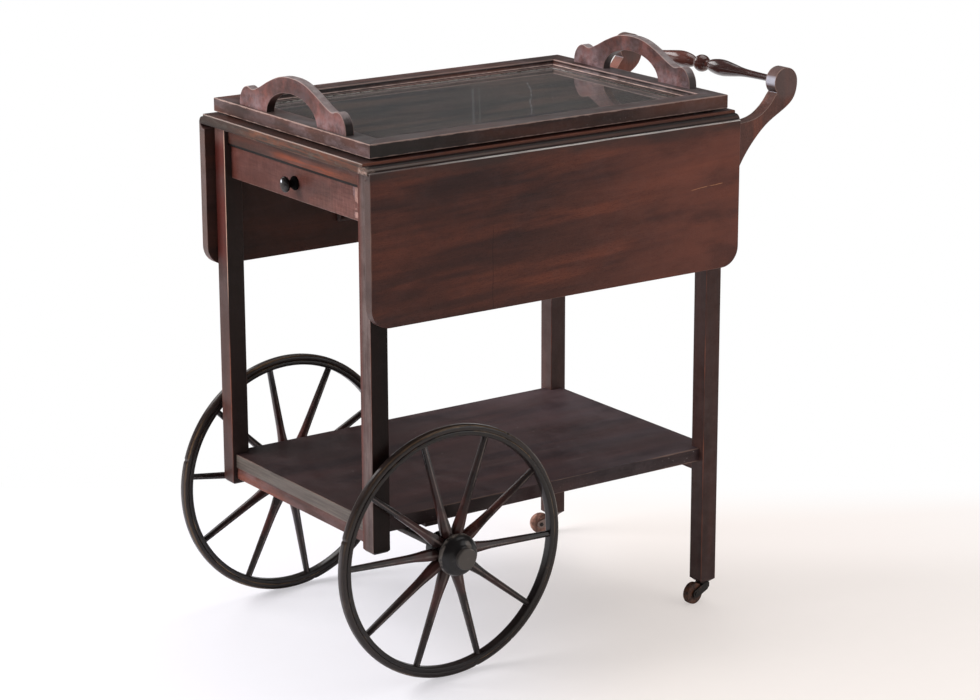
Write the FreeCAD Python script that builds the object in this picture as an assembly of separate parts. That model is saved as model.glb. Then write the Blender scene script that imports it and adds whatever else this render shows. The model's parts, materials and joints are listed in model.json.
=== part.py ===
"""Tea cart with a rule-jointed drop-leaf top, a drawer, a lift-off glazed tray and spoked wheels.

Millimetres, +Z up. The origin is on the floor at the middle of the overall length and width.
-X is the leading end with the drawer and the two large wheels, +X the end with the push bar.
Left is the -Y side, right is the +Y side.
"""
import FreeCAD
import Part
import math
import os

V = FreeCAD.Vector

# Table top and rule joint
top_len = 613.0
top_half_w = 204.4
top_thk = 14.6
top_z = 722.7
fillet_h = 4.0
joint_step = 1.9
arris = 1.0

# Drop leaves
leaf_inset = 2.0
leaf_w = 205.2
leaf_corner_r = 28.0
leaf_gap = 0.35

# Legs
leg_side = 26.5
leg_setback_x = 13.6
leg_setback_y = 7.5
short_leg_reach = 24.9
short_leg_bevel = 3.0
long_leg_foot = 29.8
long_leg_bevel_side = 5.4
long_leg_bevel_rise = 4.4

# Rails under the top
rail_thk = 17.0
rail_depth = 68.0
side_rail_recess = 3.0
end_rail_recess = 6.0
drawer_rail_recess = 6.0
drawer_rail_depth = 26.0

# Drawer
drawer_recess = 10.0
drawer_top_gap = 0.7
drawer_front_h = 46.0
drawer_front_thk = 18.0
drawer_end_gap = 0.6
drawer_box_gap = 1.4
drawer_side_thk = 10.0
drawer_side_drop = 2.5
drawer_side_h = 40.0
drawer_back_room = 94.8
drawer_back_thk = 10.0
drawer_bottom_thk = 4.0
drawer_bottom_up = 2.0
runner_h = 10.0
runner_up = 14.0
runner_end_room = 54.8
groove_depth = 6.0
slide_gap = 0.4

# Turned knob
knob_proud = 20.4
knob_r = 10.9
knob_shares = ((0.0, 0.86), (0.1, 0.88), (0.17, 0.8), (0.28, 0.56), (0.42, 0.47), (0.54, 0.56),
              (0.64, 0.82), (0.75, 0.99), (0.85, 0.97), (0.94, 0.75), (0.99, 0.38), (1.0, 0.0))

# Lower shelf
shelf_thk = 19.7
shelf_inset_x = 5.2
shelf_inset_y = 9.6
shelf_rail_depth = 16.7
shelf_rail_thk = 18.0
shelf_rail_back = 1.5

# Large wheels
wheel_r = 177.0
axle_inset = 114.4
wheel_stand_off = 20.1
tyre_w = 13.0
tyre_depth = 8.8
tyre_round = 3.2
felloe_w = 14.0
felloe_depth = 6.7
felloe_bevel = 1.6
spoke_count = 10
spoke_phase_left = -2.7
spoke_phase_right = -8.2
hub_seat_r = 24.0
hub_seat_w = 18.0
hub_barrel_r = 21.0
hub_flange_r = 26.0
hub_flange_w = 4.0
hub_dome_r = 29.6
hub_proud = 27.0
hub_back = 37.0
hub_dome_shares = ((0.22, 0.995), (0.36, 0.965), (0.5, 0.915), (0.62, 0.85), (0.72, 0.77), (0.80, 0.68),
                   (0.86, 0.60), (0.92, 0.55))
hub_cap_r = 15.0
hub_cap_w = 6.0
hub_cap_round = 1.6
spoke_gap = 0.25
spoke_width = 16.6
spoke_thk = 15.2
spoke_bevel = 2.2
spoke_side_shares = (0.0, 0.1, 0.26, 0.5, 1.0)
spoke_width_shares = (0.94, 1.0, 0.70, 0.60, 0.48)
spoke_thk_shares = (1.0, 1.0, 0.88, 0.76, 0.62)

# Axle
axle_r = 6.3
axle_running_gap = 0.05
axle_collar_r = 10.5
axle_collar_w = 5.6
axle_end_gap = 0.4
nut_r = 9.2
nut_w = 4.2
nut_room = 1.2
axle_tail = 1.6
cross_w = 28.0
cross_drop = 11.9
axle_drop = 26.0
bracket_inset = 115.4
bracket_w = 22.0
bracket_under = 2.0

# Casters
caster_r = 15.8
caster_w = 10.0
caster_crown = 0.6
caster_trail = 19.8
caster_turn_left = 8.0
caster_turn_right = -21.0
caster_plate_r = 9.6
caster_plate_thk = 1.4
caster_stem_r = 3.2
caster_stem_len = 28.0
caster_socket_r = 5.2
caster_gap = 0.4
caster_running_gap = 0.05
fork_crown_r = 8.2
fork_crown_h = 4.4
fork_crown_back = 4.8
fork_cheek_thk = 2.5
fork_cheek_gap = 0.6
fork_boss_r = 6.2
caster_pin_r = 1.8
caster_pin_head_r = 3.0
caster_pin_head_w = 0.9

# Push handle
arm_thk = 21.0
arm_inset = 8.9
scroll_r = 20.5
scroll_out = 119.4
scroll_z = 748.0
arm_foot_z = 548.0
# Shares of the reach from leg to scroll centre, and of the rise from arm foot to scroll centre.
arm_upper_shares = ((0.280, 0.7525), (0.363, 0.7535), (0.447, 0.7585), (0.531, 0.768), (0.615, 0.787),
                    (0.715, 0.827), (0.782, 0.865), (0.824, 0.8975))
arm_lower_shares = ((0.060, 0.09), (0.126, 0.20), (0.221, 0.335), (0.330, 0.464), (0.456, 0.570),
                    (0.590, 0.6565), (0.724, 0.724), (0.841, 0.7665), (0.950, 0.8015), (1.042, 0.836),
                    (1.117, 0.879), (1.158, 0.9325))
notch_angle = 222.0
bar_tenon = 8.0
bar_swell_r = 11.9
bar_shares = ((0.087, 0.40), (0.111, 0.60), (0.141, 0.76), (0.200, 0.925), (0.260, 1.0), (0.320, 0.975),
              (0.380, 0.875), (0.440, 0.765), (0.500, 0.64), (0.560, 0.54), (0.680, 0.455),
              (0.860, 0.41), (1.0, 0.395))
bar_ball_r = 12.6
bar_ball_len_share = 0.92

# Tray
tray_margin_x = 12.2
tray_margin_y = 5.4
tray_shift_x = 2.9
tray_lift = 3.0
tray_h = 18.8
tray_flat = 30.0
mould_w = 9.0
tray_rebate = 33.0
glass_thk = 3.0
glass_top_up = 8.3
panel_thk = 5.0
step_h = 1.4
tray_foot_r = 9.0
tray_foot_in = 20.0
tray_rest_gap = 0.3
# Cross-section of the moulding: shares of its width from the flat, and of its drop to the glass.
mould_shares = ((0.0, 0.13), (0.16, 0.13), (0.20, 0.34), (0.34, 0.56), (0.56, 0.68), (0.60, 0.78),
                (0.86, 0.80), (1.0, 0.90), (1.0, 1.0))

# Tray handles
grip_len = 270.8
grip_rise = 56.1
grip_thk = 13.3
grip_edge_in = 4.0
grip_hole_len = 127.6
grip_hole_rise = 34.5
grip_round = 1.2
grip_shares = ((1.0, 0.0), (0.996, 0.116), (0.986, 0.223), (0.964, 0.323), (0.934, 0.412), (0.890, 0.480),
               (0.842, 0.501), (0.790, 0.471), (0.739, 0.455), (0.679, 0.497), (0.591, 0.586),
               (0.480, 0.715), (0.369, 0.829), (0.258, 0.923), (0.133, 0.984), (0.0, 1.0))

# Leaf hinges
hinge_end_in = 81.5
hinge_len = 40.0
hinge_mid_share = 0.4
hinge_thk = 1.6
hinge_knuckle_r = 3.0
hinge_pin_r = 1.3
hinge_pin_gap = 0.05
hinge_room = 0.4
hinge_end_gap = 0.3
hinge_flap_len = 48.0
hinge_plate_len = 32.0

# Swinging wire props that carry the raised leaves
prop_r = 3.0
prop_bar_len = 180.0
prop_pivot_drop = 58.1
prop_pivot_in = 5.4
prop_ear_w = 6.0
prop_ear_r = 4.7
prop_ear_gap = 0.5
prop_running_gap = 0.05
prop_rest_gap = 0.3
prop_swing = 120.0
prop_tail = 10.0

# Places worked out from the sizes above
top_half = top_len / 2
hinge_x = top_half - hinge_end_in
under_z = top_z - top_thk
pin_y = top_half_w + joint_step
pin_z = under_z + joint_step
ovolo_r = top_thk - fillet_h - joint_step
leg_out_x = top_half - leg_setback_x
leg_out_y = top_half_w - leg_setback_y
leg_in_x = leg_out_x - leg_side
leg_in_y = leg_out_y - leg_side
side_out_y = leg_out_y - side_rail_recess
side_in_y = side_out_y - rail_thk
drawer_face_x = -(leg_out_x - drawer_recess)
drawer_top_z = under_z - drawer_rail_depth - drawer_top_gap
drawer_low_z = drawer_top_z - drawer_front_h
box_front_x = drawer_face_x + drawer_front_thk
box_out_y = leg_in_y - drawer_box_gap
box_low_z = drawer_top_z - drawer_side_drop - drawer_side_h
end_rail_x = leg_out_x - end_rail_recess - rail_thk
drawer_back_x = end_rail_x - drawer_back_room
cross_under = wheel_r + axle_drop
shelf_under = cross_under + cross_drop
shelf_top = shelf_under + shelf_thk
short_leg_foot = shelf_under - short_leg_reach
caster_x = (leg_out_x + leg_in_x) / 2
caster_y = (leg_out_y + leg_in_y) / 2
scroll_x = leg_out_x + scroll_out
arm_out_y = leg_out_y - arm_inset
arm_in_y = arm_out_y - arm_thk
tray_half_x = top_half - tray_margin_x
tray_half_y = top_half_w - tray_margin_y
tray_low = top_z + tray_lift
tray_top = tray_low + tray_h
glass_top = tray_low + glass_top_up
wheel_x = axle_inset - leg_out_x
wheel_face_w = leg_out_y + wheel_stand_off
hub_outer_w = wheel_face_w + hub_proud
hub_inner_w = wheel_face_w - hub_back
bracket_mid_w = leg_in_y - bracket_inset
felloe_r = wheel_r - tyre_depth
spoke_tip_r = felloe_r - felloe_depth
wheel_mid_w = wheel_face_w - felloe_w / 2
spoke_widths = [a * spoke_width for a in spoke_width_shares]
spoke_depths = [a * spoke_thk for a in spoke_thk_shares]
prop_y = top_half_w - prop_pivot_in
prop_z = under_z - prop_pivot_drop
prop_half = prop_bar_len / 2
# The cross bar rests against the hanging leaf, and after its swing against the raised one.
prop_kick = prop_pivot_in - prop_r - prop_rest_gap
prop_angle = math.radians(prop_swing)
prop_len = (prop_pivot_drop - prop_r - prop_rest_gap - prop_kick * math.sin(prop_angle)) / -math.cos(prop_angle)
shift_x = -((wheel_x - wheel_r) + (scroll_x + scroll_r)) / 2

# An edge counts as lying along an axis when this share of its length does.
straight_share = 0.999999

parts = {}


def keep(name, shape):
    shape = shape.copy()
    shape.translate(V(shift_x, 0, 0))
    parts[name] = shape


def box(x0, x1, y0, y1, z0, z1):
    return Part.makeBox(x1 - x0, y1 - y0, z1 - z0, V(x0, y0, z0))


def both_y(shape):
    return [shape, shape.mirror(V(0, 0, 0), V(0, 1, 0))]


def mirrored(shape):
    return shape.mirror(V(0, 0, 0), V(0, 1, 0))


def together(shapes):
    return Part.makeCompound(shapes)


def face_of(points):
    return Part.Face(Part.makePolygon([V(*p) for p in points] + [V(*points[0])]))


def spline_edge(points):
    curve = Part.BSplineCurve()
    curve.interpolate([V(*p) for p in points])
    return curve.toShape()


def line(a, b):
    return Part.LineSegment(V(*a), V(*b)).toShape()


def lathe_y(profile, x, z):
    """Turn a closed (distance along Y, radius) outline about the axis along Y at x, z."""
    face = face_of([(x, w, z + r) for w, r in profile])
    return face.revolve(V(x, 0, z), V(0, 1, 0), 360)


def soften(shape, radius, wanted):
    edges = [e for e in shape.Edges if wanted(e)]
    return shape.makeFillet(radius, edges) if edges else shape


def along(edge, axis):
    d = edge.Vertexes[-1].Point - edge.Vertexes[0].Point
    return d.Length > 0 and abs(d[axis]) > straight_share * d.Length


def rod(radius, x0, x1, y, z):
    return Part.makeCylinder(radius, x1 - x0, V(x0, y, z), V(1, 0, 0))


def legs():
    for end, name in ((-1, "front"), (1, "rear")):
        foot = short_leg_foot if end < 0 else long_leg_foot
        side = short_leg_bevel if end < 0 else long_leg_bevel_side
        rise = short_leg_bevel if end < 0 else long_leg_bevel_rise
        x0 = min(end * leg_in_x, end * leg_out_x)
        body = box(x0, x0 + leg_side, -leg_out_y, -leg_in_y, foot + rise, under_z)
        body = soften(body, arris, lambda e: along(e, 2))
        low = [V(x0 + a, -leg_out_y + b, foot) for a, b in
               ((side, side), (leg_side - side, side), (leg_side - side, leg_side - side),
                (side, leg_side - side))]
        high = [V(x0 + a, -leg_out_y + b, foot + rise) for a, b in
                ((arris / 2, arris / 2), (leg_side - arris / 2, arris / 2),
                 (leg_side - arris / 2, leg_side - arris / 2), (arris / 2, leg_side - arris / 2))]
        tip = Part.makeLoft([Part.makePolygon(low + low[:1]), Part.makePolygon(high + high[:1])], True, True)
        leg = body.fuse(tip).removeSplitter()
        if end > 0:
            hole = Part.makeCylinder(caster_socket_r, caster_stem_len + caster_gap,
                                     V(caster_x, -caster_y, foot))
            leg = leg.cut(hole)
        keep("leg_%s_left" % name, leg)
        keep("leg_%s_right" % name, mirrored(leg))


def hinge_spans():
    """Each hinge's middle barrel, then its two outer barrels, as (x0, x1)."""
    spans = []
    for x in (-hinge_x, hinge_x):
        half = hinge_len / 2
        mid = half * hinge_mid_share
        spans.append(((x - mid, x + mid), ((x - half, x - mid - hinge_end_gap),
                                           (x + mid + hinge_end_gap, x + half))))
    return spans


def top():
    rise = top_z - fillet_h
    mid = ovolo_r * math.sqrt(0.5)
    foot = pin_y + math.sqrt(ovolo_r ** 2 - joint_step ** 2)
    x = -top_half
    edges = [line((x, -top_half_w, top_z), (x, top_half_w, top_z)),
             line((x, foot, under_z), (x, -foot, under_z))]
    for s in (-1, 1):
        edges += [line((x, s * top_half_w, top_z), (x, s * top_half_w, rise)),
                  line((x, s * top_half_w, rise), (x, s * pin_y, rise)),
                  Part.Arc(V(x, s * pin_y, rise), V(x, s * (pin_y + mid), pin_z + mid),
                           V(x, s * foot, under_z)).toShape()]
    slab = Part.Face(Part.Wire(Part.__sortEdges__(edges))).extrude(V(top_len, 0, 0))
    slab = soften(slab, arris, lambda e: all(abs(v.Point.z - top_z) < arris / 10 for v in e.Vertexes))
    room = hinge_knuckle_r + hinge_room
    for x in (-hinge_x, hinge_x):
        half = hinge_len / 2 + hinge_room
        for side in (-1, 1):
            slab = slab.cut(box(x - half, x + half, side * pin_y - room, side * pin_y + room,
                                pin_z - room, pin_z + room))
    keep("table_top", slab)


def leaf():
    g = leaf_gap
    cove = ovolo_r + g
    mid = cove * math.sqrt(0.5)
    half = top_half - leaf_inset
    x = -half
    y = -pin_y
    inner = y + joint_step
    outer = inner - top_thk
    high = pin_z + joint_step - g
    low = pin_z - leaf_w
    # Hanging: distance across the joint becomes depth below the pin.
    edges = [line((x, outer, high), (x, outer, low)),
             line((x, outer, low), (x, inner, low)),
             line((x, inner, low), (x, inner, pin_z - cove)),
             line((x, inner, pin_z - cove), (x, y, pin_z - cove)),
             Part.Arc(V(x, y, pin_z - cove), V(x, y - mid, pin_z - mid), V(x, y - cove, pin_z)).toShape(),
             line((x, y - cove, pin_z), (x, y - cove, high)),
             line((x, y - cove, high), (x, outer, high))]
    panel = Part.Face(Part.Wire(edges)).extrude(V(2 * half, 0, 0))
    panel = soften(panel, leaf_corner_r, lambda e: along(e, 1) and e.Vertexes[0].Point.z < low + arris)
    near = arris / 10
    panel = soften(panel, arris, lambda e: all(abs(v.Point.y - outer) < near for v in e.Vertexes)
                   or (all(abs(v.Point.y - inner) < near for v in e.Vertexes)
                       and min(v.Point.z for v in e.Vertexes) < pin_z - cove - near
                       and not along(e, 2)))
    keep("leaf_left", panel)
    keep("leaf_right", mirrored(panel))


def hinges():
    plates = []
    pins = []
    flaps = []
    r = hinge_knuckle_r
    y = -pin_y
    inner = y + joint_step
    strap_y = inner + leaf_gap
    plate_y = strap_y + hinge_thk + hinge_room
    strap_z = under_z - hinge_thk - hinge_room
    for (m0, m1), outer in hinge_spans():
        bore = rod(hinge_pin_r, outer[0][0], outer[1][1], y, pin_z)
        plate = box(outer[0][0], outer[1][1], plate_y, plate_y + hinge_plate_len, under_z - hinge_thk, under_z)
        for a, b in outer:
            plate = plate.fuse(rod(r, a, b, y, pin_z))
            plate = plate.fuse(box(a, b, y, plate_y, under_z - hinge_thk, under_z))
        plates.append(plate.cut(bore).removeSplitter())
        pins.append(bore)
        high = under_z - hinge_end_gap
        barrel = rod(r, m0, m1, y, pin_z).fuse(box(m0, m1, y + hinge_pin_r, strap_y + hinge_thk, pin_z - r, high))
        barrel = barrel.fuse(box(m0, m1, strap_y, strap_y + hinge_thk, strap_z, high))
        strap = box(outer[0][0], outer[1][1], strap_y, strap_y + hinge_thk,
                    pin_z - ovolo_r - leaf_gap, strap_z)
        flap = box(outer[0][0], outer[1][1], inner, inner + leaf_gap + hinge_thk,
                   pin_z - hinge_flap_len, pin_z - ovolo_r - leaf_gap)
        flap = flap.fuse(strap).fuse(barrel)
        flaps.append(flap.cut(rod(hinge_pin_r + hinge_pin_gap, m0, m1, y, pin_z)).removeSplitter())
    keep("hinge_plates", together([s for p in plates for s in both_y(p)]))
    keep("hinge_pins", together([s for p in pins for s in both_y(p)]))
    keep("hinge_flaps_left", together(flaps))
    keep("hinge_flaps_right", mirrored(together(flaps)))


def props():
    """Wire bails that hang behind the leaves and swing out under them, and their ears on the side rails."""
    y = -prop_y
    ends = prop_half + prop_tail
    bar_y = y - prop_kick
    bar_z = prop_z - prop_len
    wire = rod(prop_r, -ends, -prop_half, y, prop_z)
    wire = wire.fuse(rod(prop_r, prop_half, ends, y, prop_z))
    wire = wire.fuse(rod(prop_r, -prop_half, prop_half, bar_y, bar_z))
    for x in (-prop_half, prop_half):
        a = V(x, y, prop_z)
        b = V(x, bar_y, bar_z)
        wire = wire.fuse(Part.makeCylinder(prop_r, (b - a).Length, a, b - a))
        wire = wire.fuse(Part.makeSphere(prop_r, a)).fuse(Part.makeSphere(prop_r, b))
    keep("leaf_prop_left", wire)
    keep("leaf_prop_right", mirrored(wire))
    ears = []
    hole = prop_r + prop_running_gap
    for x in (-prop_half - prop_r - prop_ear_gap - prop_ear_w, prop_half + prop_r + prop_ear_gap):
        ear = rod(prop_ear_r, x, x + prop_ear_w, y, prop_z)
        ear = ear.fuse(box(x, x + prop_ear_w, y, -side_out_y, prop_z - prop_ear_r, prop_z + prop_ear_r))
        ears.append(ear.cut(rod(hole, x, x + prop_ear_w, y, prop_z)).removeSplitter())
    keep("prop_ears", together([s for e in ears for s in both_y(e)]))


def rails():
    side = box(-leg_in_x, leg_in_x, -side_out_y, -side_in_y, under_z - rail_depth, under_z)
    for x in (-hinge_x, hinge_x):
        side = side.cut(box(x - hinge_len / 2, x + hinge_len / 2, -side_out_y, -side_in_y,
                            under_z - hinge_thk, under_z))
    keep("side_rail_left", side)
    keep("side_rail_right", mirrored(side))
    keep("end_rail", box(end_rail_x, end_rail_x + rail_thk, -leg_in_y, leg_in_y, under_z - rail_depth, under_z))
    face = -(leg_out_x - drawer_rail_recess)
    keep("drawer_rail", box(face, face + rail_thk, -leg_in_y, leg_in_y, under_z - drawer_rail_depth, under_z))
    tip = box_out_y - groove_depth + slide_gap
    runner = box(box_front_x, end_rail_x - runner_end_room, -side_in_y, -tip,
                 box_low_z + runner_up, box_low_z + runner_up + runner_h)
    keep("drawer_runners", together(both_y(runner)))


def drawer():
    half = leg_in_y - drawer_end_gap
    front = box(drawer_face_x, box_front_x, -half, half, drawer_low_z, drawer_top_z)
    near = arris / 10
    front = soften(front, arris, lambda e: all(abs(v.Point.x - drawer_face_x) < near for v in e.Vertexes))
    keep("drawer_front", front)
    back_x = drawer_back_x
    high = box_low_z + drawer_side_h
    side = box(box_front_x, back_x, -box_out_y, -box_out_y + drawer_side_thk, box_low_z, high)
    groove = box(box_front_x, back_x, -box_out_y, -box_out_y + groove_depth,
                 box_low_z + runner_up - slide_gap, box_low_z + runner_up + runner_h + slide_gap)
    side = side.cut(groove)
    keep("drawer_side_left", side)
    keep("drawer_side_right", mirrored(side))
    inner = box_out_y - drawer_side_thk
    floor = box_low_z + drawer_bottom_up
    keep("drawer_back", box(back_x - drawer_back_thk, back_x, -inner, inner, floor, high))
    keep("drawer_bottom", box(box_front_x, back_x - drawer_back_thk, -inner, inner,
                              floor, floor + drawer_bottom_thk))
    z = (drawer_low_z + drawer_top_z) / 2
    edge = spline_edge([(drawer_face_x - a * knob_proud, 0, z + b * knob_r) for a, b in knob_shares])
    tip = drawer_face_x - knob_proud
    edges = [edge, line((tip, 0, z), (drawer_face_x, 0, z)),
             line((drawer_face_x, 0, z), (drawer_face_x, 0, z + knob_shares[0][1] * knob_r))]
    face = Part.Face(Part.Wire(Part.__sortEdges__(edges)))
    keep("drawer_knob", face.revolve(V(drawer_face_x, 0, z), V(1, 0, 0), 360))


def shelf():
    hx = leg_out_x - shelf_inset_x
    hy = leg_out_y - shelf_inset_y
    board = box(-hx, hx, -hy, hy, shelf_under, shelf_top)
    for sx in (-1, 1):
        for sy in (-1, 1):
            x0 = min(sx * leg_in_x, sx * leg_out_x)
            y0 = min(sy * leg_in_y, sy * leg_out_y)
            board = board.cut(box(x0, x0 + leg_side, y0, y0 + leg_side, shelf_under, shelf_top))
    near = arris / 10
    board = soften(board, arris, lambda e: all(abs(v.Point.z - shelf_top) < near for v in e.Vertexes)
                   and (all(abs(abs(v.Point.x) - hx) < near for v in e.Vertexes)
                        or all(abs(abs(v.Point.y) - hy) < near for v in e.Vertexes)))
    keep("shelf_board", board)
    out = hx - shelf_rail_back
    rail = box(out - shelf_rail_thk, out, -leg_in_y, leg_in_y, shelf_under - shelf_rail_depth, shelf_under)
    keep("shelf_rail_rear", rail)
    keep("shelf_rail_front", rail.mirror(V(0, 0, 0), V(1, 0, 0)))


def axle():
    x = wheel_x
    z = wheel_r
    cross_half_x = cross_w / 2
    keep("axle_crosspiece", box(x - cross_half_x, x + cross_half_x, -leg_in_y, leg_in_y,
                                cross_under, shelf_under))
    block = box(x - cross_half_x, x + cross_half_x, -bracket_mid_w - bracket_w / 2,
                -bracket_mid_w + bracket_w / 2, z - axle_r - bracket_under, cross_under)
    bore = Part.makeCylinder(axle_r, bracket_w, V(x, -bracket_mid_w - bracket_w / 2, z), V(0, 1, 0))
    keep("axle_brackets", together(both_y(block.cut(bore))))
    end = hub_outer_w + axle_tail
    collar = hub_inner_w - axle_end_gap
    half = [(0, 0), (0, axle_r), (collar - axle_collar_w, axle_r), (collar - axle_collar_w, axle_collar_r),
            (collar, axle_collar_r), (collar, axle_r), (end, axle_r), (end, 0)]
    left = lathe_y([(-w, r) for w, r in half], x, z)
    keep("axle_bar", left.fuse(mirrored(left)).removeSplitter())
    floor = hub_outer_w - nut_w - axle_end_gap
    ring = [V(x + nut_r * math.cos(math.radians(a)), -floor - axle_end_gap, z + nut_r * math.sin(math.radians(a)))
            for a in range(0, 360, 60)]
    nut = Part.Face(Part.makePolygon(ring + ring[:1])).extrude(V(0, -nut_w, 0))
    nut = nut.cut(Part.makeCylinder(axle_r, nut_w, V(x, -floor - axle_end_gap, z), V(0, -1, 0)))
    keep("axle_nuts", together(both_y(nut)))


def spoke(phase):
    """One tapered spoke with bevelled edges, its broad root cut to a wedge beside its neighbours."""
    x = wheel_x
    z = wheel_r
    reach = spoke_tip_r + felloe_depth / 2 - hub_seat_r / 2
    wires = []
    for share, wide, thick in zip(spoke_side_shares, spoke_widths, spoke_depths):
        r = hub_seat_r / 2 + reach * share
        w = wide / 2
        t = thick / 2
        b = spoke_bevel
        ring = [(r, t, w - b), (r, t - b, w), (r, b - t, w), (r, -t, w - b),
                (r, -t, b - w), (r, b - t, -w), (r, t - b, -w), (r, t, b - w)]
        wires.append(Part.makePolygon([V(x + a, -wheel_mid_w + q, z + s) for a, q, s in ring + ring[:1]]))
    solid = Part.makeLoft(wires, True, True)
    far = spoke_tip_r * 2
    half = math.pi / spoke_count
    back = spoke_gap / 2 / math.sin(half)
    wedge = Part.Face(Part.makePolygon([V(x + back, -wheel_mid_w - felloe_w, z),
                                        V(x + far, -wheel_mid_w - felloe_w, z - (far - back) * math.tan(half)),
                                        V(x + far, -wheel_mid_w - felloe_w, z + (far - back) * math.tan(half)),
                                        V(x + back, -wheel_mid_w - felloe_w, z)]))
    solid = solid.common(wedge.extrude(V(0, 2 * felloe_w, 0)))
    ring_y = V(x, -wheel_mid_w - felloe_w, z)
    solid = solid.common(Part.makeCylinder(spoke_tip_r, 2 * felloe_w, ring_y, V(0, 1, 0)))
    solid = solid.cut(Part.makeCylinder(hub_seat_r, 2 * felloe_w, ring_y, V(0, 1, 0)))
    solid.rotate(V(x, 0, z), V(0, 1, 0), -phase)
    return solid


def wheels():
    x = wheel_x
    z = wheel_r
    m = wheel_mid_w
    t = tyre_w / 2
    c = tyre_round
    tyre = [(m - t, felloe_r), (m - t, wheel_r - c), (m - t + c / 3, wheel_r - c / 3), (m - t + c, wheel_r),
            (m + t - c, wheel_r), (m + t - c / 3, wheel_r - c / 3), (m + t, wheel_r - c), (m + t, felloe_r)]
    f = felloe_w / 2
    b = felloe_bevel
    felloe = [(m - f, felloe_r), (m - f, spoke_tip_r + b), (m - f + b, spoke_tip_r), (m + f - b, spoke_tip_r),
              (m + f, spoke_tip_r + b), (m + f, felloe_r)]
    s0 = m - hub_seat_w / 2
    s1 = m + hub_seat_w / 2
    cover = hub_outer_w - s1 - hub_flange_w
    floor = hub_outer_w - nut_w - axle_end_gap
    hub = [(hub_inner_w, axle_r + axle_running_gap), (hub_inner_w, hub_barrel_r - arris),
           (hub_inner_w + arris, hub_barrel_r), (s0 - hub_flange_w, hub_barrel_r),
           (s0 - hub_flange_w / 2, hub_flange_r - arris), (s0, hub_flange_r - arris), (s0, hub_seat_r),
           (s1, hub_seat_r), (s1, hub_flange_r), (s1 + hub_flange_w / 2, hub_flange_r + arris),
           (s1 + hub_flange_w, hub_dome_r - arris), (s1 + hub_flange_w * 1.5, hub_dome_r)]
    hub += [(s1 + hub_flange_w + a * cover, q * hub_dome_r) for a, q in hub_dome_shares]
    hub += [(hub_outer_w, hub_cap_r), (hub_outer_w, nut_r + nut_room), (floor, nut_r + nut_room),
            (floor, axle_r + axle_running_gap)]
    e = hub_cap_round
    top_w = hub_outer_w + hub_cap_w
    pit = hub_outer_w + axle_tail + axle_end_gap
    cap = [(hub_outer_w, axle_r + nut_room), (hub_outer_w, hub_cap_r), (top_w - e, hub_cap_r),
           (top_w - e / 3, hub_cap_r - e / 3), (top_w, hub_cap_r - e), (top_w, 0), (pit, 0),
           (pit, axle_r + nut_room)]
    for name, phase, side in (("left", spoke_phase_left, -1), ("right", spoke_phase_right, 1)):
        step = 360.0 / spoke_count
        spokes = together([spoke(phase + k * step) for k in range(spoke_count)])
        for node, shape in (("tyre", lathe_y([(-w, r) for w, r in tyre], x, z)),
                            ("felloe", lathe_y([(-w, r) for w, r in felloe], x, z)),
                            ("hub", lathe_y([(-w, r) for w, r in hub], x, z)),
                            ("hub_cap", lathe_y([(-w, r) for w, r in cap], x, z)),
                            ("spokes", spokes)):
            keep("wheel_%s_%s" % (node, name), shape if side < 0 else mirrored(shape))


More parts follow.
